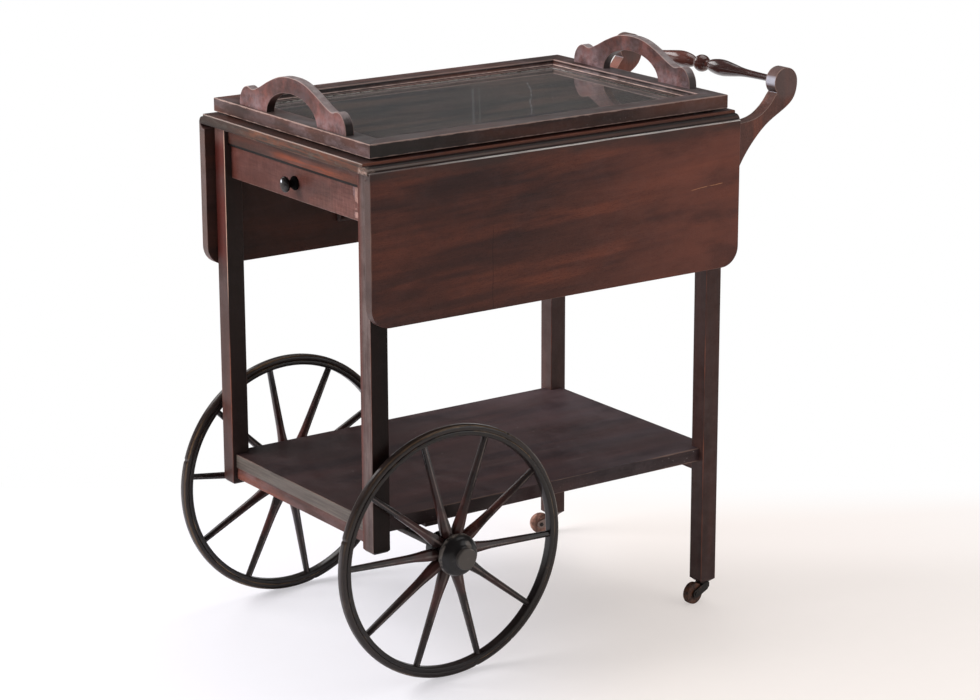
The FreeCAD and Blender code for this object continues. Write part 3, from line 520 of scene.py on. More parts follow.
def bridge(bm, a, b, open_ends=0):
    """Quads between two rings of vertices, or between two rows with their ends open."""
    for n in range(len(a) - open_ends):
        m = (n + 1) % len(a)
        bm.faces.new((a[n], a[m], b[m], b[n]))


def lathe(name, outline, x, z, material, steps=200, shift=None, sharp=32.0, capped=False):
    """Turns a (distance along Y, radius) outline about the Y axis at x, z: closed on itself, or capped at its ends."""
    bm = bmesh.new()
    rings = []
    for k in range(steps):
        angle = 2 * math.pi * k / steps
        ring = []
        for y, r in outline:
            if shift:
                r = shift(angle, y, r)
            ring.append(bm.verts.new((x + r * math.cos(angle), y, z + r * math.sin(angle))))
        rings.append(ring)
    for k in range(steps):
        bridge(bm, rings[k], rings[(k + 1) % steps], capped)
    if capped:
        bm.faces.new([ring[0] for ring in rings])
        bm.faces.new([ring[-1] for ring in rings])
    bmesh.ops.recalc_face_normals(bm, faces=bm.faces)
    return add_mesh(name, bm, material, sharp)


def grown(name, tree, inputs, material):
    """Runs a geometry node tree with these inputs and keeps the result as a plain mesh."""
    holder = bpy.data.objects.new(name + "_source", bpy.data.meshes.new(name + "_source"))
    bpy.context.scene.collection.objects.link(holder)
    modifier = holder.modifiers.new("grow", "NODES")
    modifier.node_group = tree
    inputs["Finish"] = material
    for item in tree.interface.items_tree:
        if item.item_type == "SOCKET" and item.in_out == "INPUT" and item.name in inputs:
            modifier[item.identifier] = inputs[item.name]
    mesh = evaluated(holder)
    bpy.data.objects.remove(holder)
    if not len(mesh.polygons):
        raise RuntimeError("the geometry nodes made nothing for " + name)
    return add_object(name, mesh, material, 35.0)


def new_tree(name, *inputs):
    """A geometry node tree with these named inputs, (name, kind, default), and one for the finish."""
    tree = bpy.data.node_groups.new(name, "GeometryNodeTree")
    for label, kind, default in inputs + (("Finish", "Material", None),):
        item = tree.interface.new_socket(name=label, in_out="INPUT", socket_type="NodeSocket" + kind)
        if default is not None:
            item.default_value = default
    tree.interface.new_socket(name="Geometry", in_out="OUTPUT", socket_type="NodeSocketGeometry")
    g = Graph(tree)
    start = tree.nodes.new("NodeGroupInput")
    return g, {s.name: Val(g, s) for s in start.outputs if s.name}


def end_tree(g, instances, finish):
    """Makes the instances real and gives them their material."""
    solid = g.node("GeometryNodeRealizeInstances", None, {0: instances})
    done = g.node("GeometryNodeSetMaterial", None, {"Geometry": solid, "Material": finish})
    g.node("NodeGroupOutput", None, {0: done})
    return g.tree


def root_swell(g, t):
    """The swelling of a spoke near its root, t being 0 at the hub and 1 at the rim."""
    return g.maths("EXPONENT", -1.0 * ((t - 0.06) / 0.15) ** 2)


def spoke_tree():
    """Tapered spokes with a soft ridge, turned round the axle."""
    g, given = new_tree("Cart wheel spokes", ("Spokes", "Int", 10), ("Centre", "Vector", None),
                        ("First angle", "Float", 0.0), ("Inner radius", "Float", 0.024),
                        ("Outer radius", "Float", 0.16), ("Width", "Float", 0.016), ("Depth", "Float", 0.015))
    bar = g.node("GeometryNodeMeshCylinder", None, {"Vertices": 20, "Side Segments": 30, "Radius": 1.0, "Depth": 1.0})
    x, y, z = g.split(g.node("GeometryNodeInputPosition"))
    t = z + 0.5
    swell = root_swell(g, t)
    wide = given["Width"] * (0.7 - 0.21 * t + 0.32 * swell) / 2
    deep = given["Depth"] * (0.94 - 0.3 * t + 0.1 * swell) / 2
    norm = abs(x).op("MAXIMUM", abs(y) + 0.44 * abs(x))
    radius = given["Inner radius"] + t * (given["Outer radius"] - given["Inner radius"])
    place = g.join(x / norm * wide, y / norm * deep, radius)
    formed = g.node("GeometryNodeSetPosition", None, {"Geometry": bar, "Position": place})
    points = g.node("GeometryNodePoints", None, {"Count": given["Spokes"], "Position": given["Centre"]})
    number = g.node("GeometryNodeInputIndex")
    angle = math.pi / 2 - given["First angle"] - number * (2 * math.pi) / given["Spokes"]
    turn = g.node("FunctionNodeEulerToRotation", None, {0: g.join(0.0, angle, 0.0)})
    ring = g.node("GeometryNodeInstanceOnPoints", None, {"Points": points, "Instance": formed, "Rotation": turn})
    return end_tree(g, ring, given["Finish"])


def screw_tree():
    """Slotted screw heads in a row, each slot turned its own way."""
    g, given = new_tree("Cart screws", ("Screws", "Int", 3), ("First", "Vector", None), ("Step", "Vector", None),
                        ("Facing", "Vector", None), ("Head radius", "Float", 0.003), ("Head", "Object", None),
                        ("Seed", "Int", 4))
    number = g.node("GeometryNodeInputIndex")
    place = g.vector("MULTIPLY_ADD", given["Step"], g.join(number, number, number), given["First"])
    points = g.node("GeometryNodePoints", None, {"Count": given["Screws"], "Position": place})
    head = g.node("GeometryNodeObjectInfo", {"transform_space": "ORIGINAL"}, {0: given["Head"]}, out=4)
    angle = g.node("FunctionNodeRandomValue", {"data_type": "FLOAT"},
                   {2: 0.0, 3: math.pi, "ID": number, "Seed": given["Seed"]}, out=1)
    turned = g.node("FunctionNodeEulerToRotation", None, {0: g.join(0.0, 0.0, angle)})
    facing = g.node("FunctionNodeAlignRotationToVector", {"axis": "Z"}, {"Rotation": turned, "Vector": given["Facing"]})
    size = given["Head radius"]
    row = g.node("GeometryNodeInstanceOnPoints", None,
                 {"Points": points, "Instance": head, "Rotation": facing, "Scale": g.join(size, size, size)})
    return end_tree(g, row, given["Finish"])


def screw_head():
    """A countersunk head of radius 1 with a slot across it: two half discs over a sunk floor."""
    bm = bmesh.new()
    steps, slot = 24, 0.13
    chord = math.sqrt(1 - slot * slot)
    rim = []
    for k in range(steps):
        angle = 2 * math.pi * (k + 0.5) / steps
        rim.append(Vector((math.cos(angle), math.sin(angle), 0.0)))
    for side in (-1, 1):
        arc = sorted((p for p in rim if p.y * side > slot), key=lambda p: p.x * side)
        loop = [Vector((-side * chord, side * slot, 0))] + arc + [Vector((side * chord, side * slot, 0))]
        ends = (0, len(loop) - 1)
        rings = [[bm.verts.new((p.x * share, side * slot if n in ends else p.y * share, height))
                  for n, p in enumerate(loop)]
                 for share, height in ((0.86, 0.1), (1.0, 0.02), (1.0, -0.06), (0.8, -0.12))]
        bm.faces.new(rings[0])
        bm.faces.new(rings[-1])
        for a, b in zip(rings, rings[1:]):
            bridge(bm, a, b)
    floor, base = ([bm.verts.new((p.x * share, p.y * share, height)) for p in rim]
                   for share, height in ((0.97, -0.04), (0.8, -0.13)))
    bm.faces.new(floor)
    bm.faces.new(base)
    bridge(bm, floor, base)
    bmesh.ops.recalc_face_normals(bm, faces=bm.faces)
    mesh = bpy.data.meshes.new("screw_head")
    bm.to_mesh(mesh)
    bm.free()
    head = bpy.data.objects.new("screw_head", mesh)
    bpy.context.scene.collection.objects.link(head)
    return head


def leg_marks(f, node):
    """Darker and redder as painted shade where the leaf keeps the light off, painted shade on faces turned from the
    light, a worn edge brightened as a painted highlight, greyer and lighter on the drawer's end.
    """
    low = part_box(node)[0]
    x, y, z = f.at
    front = f.towards(-1 * f.facing[0], 0.6)
    if node == "leg_front_left":
        grey = f.blots(30.0, 0.38, 0.66, 5.0, 0.62)
        # darker overall, and far darker on the faces turned from the light: painted shade
        f.dim(0.72 - 0.54 * (1 - front))
        inner = f.smooth(y, low.y + 0.014, low.y + 0.026)
        streak = f.blots((260.0, 260.0, 16.0), 0.36, 0.6)
        f.tinge((92, 42, 32), front * inner * (0.25 + 0.45 * streak))
        f.tinge((132, 116, 112), front * (1 - inner) * (0.06 + 0.18 * grey + 0.16 * streak))
    elif node == "leg_front_right":
        # painted shade with a red cast high on the front face, where the leaf keeps the light off
        f.tinge((74, 26, 20), front * f.smooth(z, 0.49, 0.53) * f.blots(14.0, 0.25, 0.6) * 0.85)
        # painted shadow of the leaf along the front face's edge by the leaf
        f.dim(1 - 0.45 * front * f.smooth(z, 0.48, 0.52) * f.smooth(y, 0.178, 0.192))
        f.tinge((112, 92, 86), front * (f.fade(z, 0.48, 0.51) * 0.05 + f.smooth(z, 0.672, 0.7) * 0.35))
        # painted shade on the faces turned from the light
        f.tinge((36, 32, 30), (1 - front) * 0.7)
        # a pale line on the front face's edge: wear, brightened as a painted highlight
        f.tinge((186, 152, 134), f.fade(y - low.y, 0.001, 0.0022) * front * f.smooth(z, 0.44, 0.5) * 0.75)
    else:
        f.tinge((104, 90, 88), 0.08 + 0.1 * f.blots(60.0, 0.3, 0.7, 5.0, 0.62))


def rail_marks(f):
    """An orange streak low on the rail, darker to the left, and painted shade, nearly black, along the gap over the
    drawer.
    """
    x, y, z = f.at
    up = z - drawer_high.z
    warm = 0.25 + 0.75 * f.blots((20.0, 9.0, 90.0), 0.4, 0.62)
    f.dim(0.86 - 0.34 * f.smooth(y, -0.06, 0.1))
    f.tinge((142, 66, 36), warm * f.fade(up, 0.01, 0.018) * f.fade(abs(y + 0.04), 0.04, 0.13) * 0.6)
    # painted shade along the gap over the drawer
    f.dim(1 - DRAWER_GAP_SHADE * f.fade(up, 0.003, 0.0038))


def top_marks(f):
    """Orange streaks and dark ends on the slab's end with a pale top edge, partly a painted highlight; a painted shadow
    of the tray on the top; a painted highlight and painted shade on the rule joints; and the scuffed corner by the left
    leaf.
    """
    x, y, z = f.at
    nx, ny, nz = f.facing
    end = f.towards(abs(nx), 0.6)
    near = f.fade(y, 0.02, 0.16)
    stripe = f.blots((8.0, 14.0, 330.0), 0.38, 0.6, 4.0, 0.65)
    tone = f.mix((48, 39, 33), (98, 55, 38), stripe * (0.12 + 0.8 * near))
    tone = f.mix(tone, (78, 72, 64), f.blots((60.0, 60.0, 160.0), 0.5, 0.66, 4.0, 0.65) * 0.6)
    tone = f.darken(tone, 1 - 0.45 * f.fade(z - top_low.z, 0.0008, 0.004) - 0.34 * (1 - near))
    warm = f.blots((8.0, 22.0, 60.0), 0.46, 0.62) * f.fade(abs(y - 0.02), 0.02, 0.1)
    tone = f.mix(tone, (132, 76, 44), warm * 0.5)
    # a pale line along the end's top edge: wear, brightened as a painted highlight
    tone = f.mix(tone, (176, 160, 152), f.smooth(z - top_high.z, -0.0022, -0.001) * 0.55)
    f.tinge(f.darken(tone, 0.88), end * 0.9)
    # painted shadow of the tray on the top's level strip at the drawer end
    f.tinge((46, 38, 36), f.towards(nz) * f.fade(x - top_low.x, 0.03, 0.08) * 0.7)
    joint = f.smooth(abs(y), JOINT_Y, JOINT_Y + 0.001) * (1 - end)
    hollow = joint * f.fade(z, 0.7182, FILLET_Z)
    f.tinge((62, 45, 40), hollow * 0.7)
    # painted highlight: a light grey band across the round, fading toward the push bar
    light = hollow * f.smooth(z, 0.7132, 0.7142) * f.fade(z, 0.7152, 0.7162)
    streaky = f.blots((9.0, 500.0, 500.0), 0.34, 0.6)
    f.tinge((124, 116, 110), light * (0.3 + 0.4 * streaky) * (1 - 0.75 * f.smooth(x, -0.28, 0.0)))
    f.tinge((116, 66, 48), joint * f.smooth(z, FILLET_Z, FILLET_Z + 0.0006) * (0.35 + 0.35 * streaky))
    # painted shade: a dark line under the fillet and another where the round meets the leaf
    quirk_shade = joint * f.fade(abs(z - QUIRK_Z), 0.0008, 0.0018)
    f.dim(1 - 0.8 * quirk_shade.op("MAXIMUM", hollow * f.fade(z, 0.7128, 0.714) * 0.8))
    corner = ((x - top_low.x) ** 2 + (y - top_low.y - 0.008) ** 2 * 0.7 + (z - top_low.z) ** 2) ** 0.5
    scuff = f.fade(corner + (f.noise(130.0, 4.0, 0.7) - 0.5) * 0.03, 0.004, 0.016)
    scuff = scuff * (0.15 + 0.85 * f.blots(240.0, 0.38, 0.6, 3.0, 0.7))
    f.tinge((166, 144, 134), scuff * 0.55)
    f.rough = f.rough + 0.15 * scuff


def leaf_edges(f):
    """The upper edge, paled as a painted highlight, and the inner face, darkened with painted shade where it is shut
    away from the light.
    """
    x, y, z = f.at
    top = leaf_high.z - z
    # painted highlight along the upper edge
    pale = f.fade(top, 0.0009, 0.0018) * f.smooth(abs(y), 0.214, 0.2155) * (
        0.2 + 0.8 * f.blots((14.0, 900.0, 900.0), 0.34, 0.58))
    f.tinge((52, 44, 42), f.fade(top, 0.004, 0.022) * (0.25 + 0.45 * f.blots((9.0, 9.0, 30.0), 0.36, 0.62)))
    f.tinge((214, 208, 204), pale * (0.14 + 0.8 * f.smooth(x, -0.31, -0.12)))
    # painted shade on the inner face, darkest by the drawer end
    hidden = f.towards(-1 * f.facing[1] * f.maths("SIGN", y), 0.6)
    f.tinge((54, 38, 34), 0.7 * hidden)
    f.tinge((26, 25, 24), 0.75 * hidden * f.fade(x, -0.352, -0.34))


def leaf_marks(f):
    """The crack and the scratch of the left leaf, darker toward the drawer, redder toward the push bar."""
    x, y, z = f.at
    wander = f.noise(30.0, 2.0, 0.5) - 0.5
    crack_x, scratch_start, scratch_z, slope = -0.1535, 0.181, 0.6226, 0.075
    crack = f.fade(abs(x - crack_x + wander * 0.006), 0.0002, 0.0009) * f.fade(z, 0.612, 0.622)
    f.tinge((24, 15, 14), crack * 0.45)
    line = z - scratch_z - (x - scratch_start) * slope
    scratch = f.fade(abs(line + wander * 0.003), 0.0001, 0.0007) * f.smooth(x, 0.178, 0.184)
    f.tinge((196, 140, 96), scratch * f.fade(x, 0.232, 0.238) * f.blots(90.0, 0.42, 0.56, 2.0, 0.5))
    cloud = f.blots((7.0, 7.0, 15.0), 0.4, 0.6, 4.0)
    f.tinge((46, 29, 28), (0.25 + 0.3 * cloud) * f.fade(x, -0.26, -0.02))
    f.tinge((132, 76, 62), f.smooth(x, -0.1, 0.22) * (0.22 + 0.26 * cloud))
    leaf_edges(f)


def drawer_marks(f):
    """Veneer lost at the near end, a rubbed foot, threads in the polish and painted shade, nearly black, along the gap
    over the front.
    """
    x, y, z = f.at
    ragged = (f.noise(190.0, 4.0, 0.7) - 0.5) * 0.011
    taper = 0.0055 * f.fade(z, 0.659, 0.668)
    upper = f.fade(y + 0.1448 + taper + ragged, -0.0006, 0.0006) * f.smooth(z + ragged, 0.659, 0.6602)
    lower = f.fade(y + 0.1475 + ragged, -0.0006, 0.0006) * f.fade(abs(z - 0.643), 0.0034, 0.0044)
    dot = f.fade(span(y + 0.1505, z - 0.651) + ragged * 0.3, 0.0012, 0.002)
    lost = upper.op("MAXIMUM", lower).op("MAXIMUM", dot)
    bare = f.mix((136, 118, 122), (196, 158, 146), f.fade(y, -0.15, -0.1475))
    f.tinge(bare, lost * (0.45 + 0.4 * f.blots(260.0, 0.35, 0.6, 3.0, 0.7)))
    f.tinge((164, 138, 126), f.fade(z - drawer_low.z, 0.0006, 0.0014) * f.blots(40.0, 0.4, 0.58) * 0.6)
    weave = f.blots((60.0, 300.0, 50.0), 0.36, 0.62) * 0.5 + f.blots((60.0, 36.0, 420.0), 0.36, 0.62) * 0.5
    patch = f.blots((20.0, 16.0, 26.0), 0.36, 0.62, 4.0, 0.62)
    left = f.smooth(y, -0.08, 0.1)
    f.tinge((98, 42, 30), left * 0.45 + 0.3 * patch * (1 - left))
    rosy = f.smooth(-1 * y, 0.02, 0.14) * f.fade(z, 0.652, 0.676)
    f.tinge((156, 112, 106), (0.35 + 0.65 * weave) * (0.04 + 0.14 * patch + 0.16 * rosy))
    f.dim((0.62 + 0.16 * weave) * (1 - 0.16 * left))
    # painted shade along the gap under the rail
    f.dim(1 - DRAWER_GAP_SHADE * f.fade(drawer_high.z - z, 0.001, 0.002))
    f.rough = f.rough + 0.15 * lost


def grip_marks(f, node):
    """Deep and rosy patches on the sides, a painted highlight on the tops, cut ends darkened partly as painted shade
    and greyed as painted light on the rear grip, and rubbed rims.
    """
    x, y, z = f.at
    nx, ny, nz = f.facing
    front = node == "tray_grip_front"
    flat = f.towards(abs(nx), 0.6)
    bloom = f.blots(75.0, 0.38, 0.62, 6.0, 0.72)
    f.tinge((124, 66, 54), flat * f.blots(48.0, 0.42, 0.6, 5.0, 0.7) * 0.4)
    f.tinge((138, 120, 124), (f.fade(z, 0.746, 0.776) + 0.35) * flat * (0.1 + 0.26 * bloom) * (1.0 if front else 1.4))
    f.dim(1 - 0.42 * f.blots(26.0, 0.4, 0.6, 5.0, 0.66) * flat)
    # cut ends darker, partly painted shade: much darker on the front grip, greyed as painted light on the rear one
    cut = f.smooth(abs(ny), 0.45, 0.9)
    if not front:
        f.tinge((92, 84, 84), cut * 0.6)
    f.dim(1 - (0.8 if front else 0.3) * cut)
    # painted highlight on the faces that look up, patchy with the bloom
    f.tinge((142, 132, 132), f.smooth(nz, 0.35, 0.8) * (0.4 + 0.4 * bloom))
    gap = f.depth(0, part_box(node)) / (0.0004 + 0.002 * f.noise(60.0))
    f.tinge((176, 146, 138), f.fade(abs(nx), 0.86, 0.99) * f.fade(gap, 0.5, 1.0) * 0.42)


def inset(f):
    """Distance in from the tray's outline, in plan."""
    box = (tray_low, tray_high)
    return f.depth(0, box).op("MINIMUM", f.depth(1, box))


def moulding_marks(f):
    """Dirt and painted shade in the moulding's quirks, ridges paled as wear and as painted highlights, painted sheen on
    the near level tops, painted shade on the near face, painted highlights along the foot and the lip, and bare wood
    along the tray's outer edges.
    """
    x, y, z = f.at
    nx, ny, nz = f.facing
    into = inset(f)
    ragged = f.noise(55.0, 4.0, 0.65)
    # dirt and painted shade: the ramp darkens the grooves between the ridges and the foot by the glass
    dirt = f.ramp((into - MOULDING_INSET) / 0.0105, (0.0, 1.0), (0.1, 1.0), (0.13, 0.25), (0.24, 0.3),
                  (0.3, 0.95), (0.55, 1.0), (0.6, 0.25), (0.68, 0.35), (0.74, 0.9), (0.93, 0.8), (0.97, 0.3))
    inside = f.smooth(into, 0.0288, 0.0292)
    f.shade = f.multiply(f.shade, dirt, inside)
    # ridges paled as wear and, the middle one most, as a painted highlight
    ridges = sum(f.fade(abs(into - at), near, far) * share for at, near, far, share in (
        (0.0299, 0.0005, 0.001, 0.3), (0.0342, 0.0004, 0.0011, 1.1), (0.0376, 0.0003, 0.0008, 0.4)))
    # painted sheen: a patchy grey on the level tops of the near half
    level = f.smooth(nz, 0.7, 0.95) * (1 - inside) * f.fade(y, 0.0, 0.1)
    f.tinge((84, 80, 80), level * (0.25 + 0.45 * f.blots((30.0, 120.0, 30.0), 0.36, 0.64, 4.0)))
    # painted shade on the near face: darker and greyer toward the drawer end, warmer toward the push bar
    near = f.towards(-1 * ny) * f.fade(y + 0.199, 0.001, 0.003)
    f.tinge((52, 50, 48), near * 0.75 * f.fade(x, -0.32, -0.08))
    f.tinge((112, 76, 64), near * 0.3 * f.smooth(x, 0.0, 0.2))
    f.dim(1 - 0.42 * near * f.fade(x, 0.05, 0.25))
    # painted highlight: a pale dotted line along the foot by the glass, strongest on the far bar, mirrored in the glass
    foot = f.fade(z, 0.7346, 0.735) * inside * (0.25 + 0.75 * f.smooth(y, 0.1, 0.15))
    f.tinge((196, 188, 180), foot * (0.2 + 0.6 * f.blots(240.0, 0.4, 0.56, 3.0, 0.7)))
    # painted highlight on the lip, so that it shows in the glass as well
    f.tinge((176, 150, 144), f.smooth(z, 0.743, 0.7436) * f.smooth(into, 0.0292, 0.0296) * 0.55)
    edge = into.op("MAXIMUM", tray_high.z - z).op("MINIMUM", into.op("MAXIMUM", z - tray_low.z))
    rubbed = f.fade(edge / (0.001 + 0.0022 * ragged * f.smooth(ragged, 0.35, 0.6)), 0.5, 1.0)
    pale = rubbed * 0.75 + ridges * (0.45 + 0.55 * f.smooth(ragged, 0.36, 0.56))
    f.tinge((180, 152, 142), pale.op("MINIMUM", 1.3) * 0.66)
    f.rough = f.rough + 0.1 * rubbed


def veneer_marks(f):
    """Three pale rubs and a jagged crack in the veneer."""
    x, y, z = f.at
    wander = f.noise(22.0, 2.0, 0.5) - 0.5
    across = x * 0.826 - y * 0.564
    for middle, half, share in ((-0.0268, 0.0022, 0.6), (-0.018, 0.0014, 0.42), (0.086, 0.0008, 0.25)):
        line = f.fade(abs(across - middle + wander * 0.001), half * 0.5, half)
        f.tinge((172, 166, 166), line * f.smooth(y, -0.14, -0.11) * f.fade(y, 0.092, 0.1) * share)
    path = f.ramp((y + 0.12) / 0.22, (0.04, 0.11), (0.16, 0.34), (0.39, 0.22), (0.54, 0.54), (0.71, 0.59),
                  (0.93, 0.16))
    jag = f.noise(70.0, 4.0, 0.7) - 0.5
    crack = f.fade(abs(across - 0.05 - f.split(path)[0] * 0.01 + jag * 0.005), 0.0004, 0.0014)
    crack = crack * f.smooth(y, -0.115, -0.1) * f.fade(y, 0.085, 0.095)
    f.tinge((206, 202, 200), crack * f.blots(75.0, 0.36, 0.54, 2.0, 0.5) * 0.9)


def shelf_marks(f):
    """A painted shadow, nearly black, along the near edge by the axle; bloomed toward the push bar."""
    x, y, z = f.at
    nx, ny, nz = f.facing
    top = f.towards(nz)
    # painted shadow of the wheel along the near edge by the axle
    f.dim(1 - 0.52 * f.towards(-1 * ny) * f.fade(x, -0.13, -0.07))
    f.dim(1 - 0.34 * top * f.fade(x, -0.22, 0.0))
    streak = f.blots((14.0, 14.0, 420.0), 0.34, 0.62)
    f.tinge(f.mix((62, 58, 52), (92, 86, 78), streak), f.towards(-1 * nx) * 0.62)
    bloom = f.blots((6.0, 20.0, 20.0), 0.36, 0.64, 5.0, 0.62)
    f.tinge((112, 98, 104), top * f.smooth(x, -0.08, 0.26) * (0.06 + 0.22 * bloom))


def arm_marks(f, node):
    """A greyer scroll with a painted highlight along its head's rim and painted shade under it, a painted highlight on
    the upward faces near the foot, and rubbed edges.
    """
    low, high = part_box(node)
    x, y, z = f.at
    nx, ny, nz = f.facing
    scroll = f.fade(span(x - high.x + 0.0205, z - high.z + 0.0205), 0.016, 0.03)
    f.tinge((94, 80, 78), scroll * 0.6)
    head = f.smooth(z - high.z, -0.044, -0.034) * f.fade(abs(ny), 0.5, 0.8)
    # painted shade on the faces of the head that look down
    f.dim(1 - 0.65 * f.smooth(-1 * nz, 0.0, 0.5) * head)
    # painted highlight along the left side of the head's rim
    f.tinge((200, 202, 216), f.smooth(-1 * nx, 0.86, 0.98) * f.smooth(nz, -0.3, 0.0) * head * 0.65)
    # painted highlight on the upward faces near the foot
    f.tinge((150, 142, 142), f.smooth(nz, 0.55, 0.95) * f.fade(z - low.z, 0.07, 0.12) * 0.4)
    gap = f.depth(1, (low, high)) / (0.0008 + 0.002 * f.noise(60.0))
    f.tinge(bpy.context.scene.tea_cart.wood.arris, f.fade(abs(ny), 0.8, 0.99) * f.fade(gap, 0.5, 1.0) * 0.7)


def joint_dirt(f):
    """Tan dirt in patches along the joint of felloe and tyre."""
    return f.fade(abs(f.radius() - FELLOE_R), 0.0004, 0.0013) * f.blots(16.0, 0.46, 0.62) * 0.6


def hub_wear(f):
    """The dome's rim, a chip above it and the cap, rubbed grey."""
    x, y, z = f.at
    radius = f.radius()
    ragged = f.noise(120.0, 4.0, 0.65)
    rim = f.fade(abs(radius - DOME_R + (ragged - 0.5) * 0.001), 0.0003, 0.0012) * f.smooth(ragged, 0.36, 0.58) * 0.7
    chip = f.fade(span(x - WHEEL_X - 0.008, z - WHEEL_R - 0.0165) + (ragged - 0.5) * 0.01, 0.003, 0.006)
    return (rim + chip * 0.8 + f.fade(radius, CAP_R - 0.0002, CAP_R + 0.0002) * 0.35).op("MINIMUM", 1.0)


def tyre_wear(f):
    """Patches of rubbed tan along both shoulders of a tyre."""
    x, y, z = f.at
    crest = f.smooth(f.radius() + (f.noise(45.0, 4.0, 0.65) - 0.5) * 0.004, WHEEL_R - 0.0034, WHEEL_R - 0.0012)
    side = f.smooth(abs(abs(y) - WHEEL_Y), 0.0035, 0.006)
    return (crest * side * f.blots(7.0, 0.34, 0.66, 2.0, 0.5) * 0.75).op("MAXIMUM", joint_dirt(f))


class CART_OT_dress_frame(Operator):
    """Finish the legs, the rails and the fixed top in old mahogany"""
    bl_idname = "cart.dress_frame"
    bl_label = "Dress Frame"

    def execute(self, context):
        for node, seed in (("leg_front_left", 1.7), ("leg_front_right", 4.0), ("leg_rear_left", 4.1),
                           ("leg_rear_right", 6.4)):
            dress(node, "z", seed=seed, wear_width=0.002, rough=0.34, haze=0.1, figured=0.5, smoke=0.5, gloss=0.12,
                  tones=((42, 29, 28), (62, 41, 37), (84, 46, 38)), worn=(150, 88, 68),
                  marks=lambda f: leg_marks(f, node))
        for node, grain, seed in (("side_rail_left", "x", 0.4), ("side_rail_right", "x", 1.1), ("end_rail", "y", 2.0),
                                  ("drawer_rail", "y", 3.2)):
            dress(node, grain, seed=seed, haze=0.3, wear=0.6, tones=((50, 32, 27), (76, 46, 37), (112, 58, 41)),
                  marks=rail_marks if node == "drawer_rail" else None)
        dress("table_top", "x", seed=5.0, wear_width=0.0026, dust=0.35, slant=0.02, marks=top_marks,
              worn=(160, 140, 130))
        return {"FINISHED"}


class CART_OT_dress_leaves(Operator):
    """Finish the two drop leaves, with the crack and the scratch of the left one"""
    bl_idname = "cart.dress_leaves"
    bl_label = "Dress Leaves"

    def execute(self, context):
        dress("leaf_left", "x", seed=0.9, slant=0.05, haze=0.05, ends=0.85, marks=leaf_marks,
              tones=((50, 33, 32), (74, 43, 36), (106, 57, 43)))
        dress("leaf_right", "x", seed=7.3, slant=-0.03, wear_width=0.0026, ends=0.85, marks=leaf_edges)
        return {"FINISHED"}


class CART_OT_dress_drawer(Operator):
    """Finish the drawer's front, box, runners and turned knob"""
    bl_idname = "cart.dress_drawer"
    bl_label = "Dress Drawer"

    def execute(self, context):
        dress("drawer_front", "y", seed=8.8, marks=drawer_marks, dust=0.3, smoke=0.7,
              tones=((54, 33, 29), (76, 46, 40), (98, 56, 45)))
        lining = ((104, 76, 52), context.scene.tea_cart.wood.drawer, (166, 126, 86))
        for node, grain in (("drawer_side_left", "x"), ("drawer_side_right", "x"), ("drawer_back", "y"),
                            ("drawer_bottom", "y"), ("drawer_runners", "x")):
            dress(node, grain, False, seed=3.3, tones=lining, rough=0.72, gloss=0.2, figured=0.5, haze=0.0)
        self.polish_knob()
        return {"FINISHED"}

    def polish_knob(self):
        """Nearly black, with a painted highlight on the button and a dull base."""
        f = Finish("drawer_knob")
        low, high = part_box("drawer_knob")
        x, y, z = f.at
        fine = f.noise(300.0)
        f.shade = f.mix((14, 12, 12), (36, 25, 22), f.blots(60.0, 0.5, 0.8, 2.0, 0.5) * 0.6)
        base = f.smooth(x, -0.331, -0.329)
        f.dim(1 - 0.5 * base)
        # painted highlight: a small pale patch on the button, above and left of its middle
        glint_distance = span(y - (low.y + high.y) / 2 - 0.0035, z - (low.z + high.z) / 2 - 0.0045) + 0.003 * (fine - 0.5)
        f.tinge((214, 216, 222), f.fade(glint_distance, 0.001, 0.0034) * (1 - base) * 0.75)
        f.rough = 0.3 + 0.06 * fine + 0.5 * base
        paint(f.surface(Specular_IOR_Level=0.05, Coat_Weight=0.36 - 0.36 * base, Coat_Roughness=0.05), "drawer_knob")


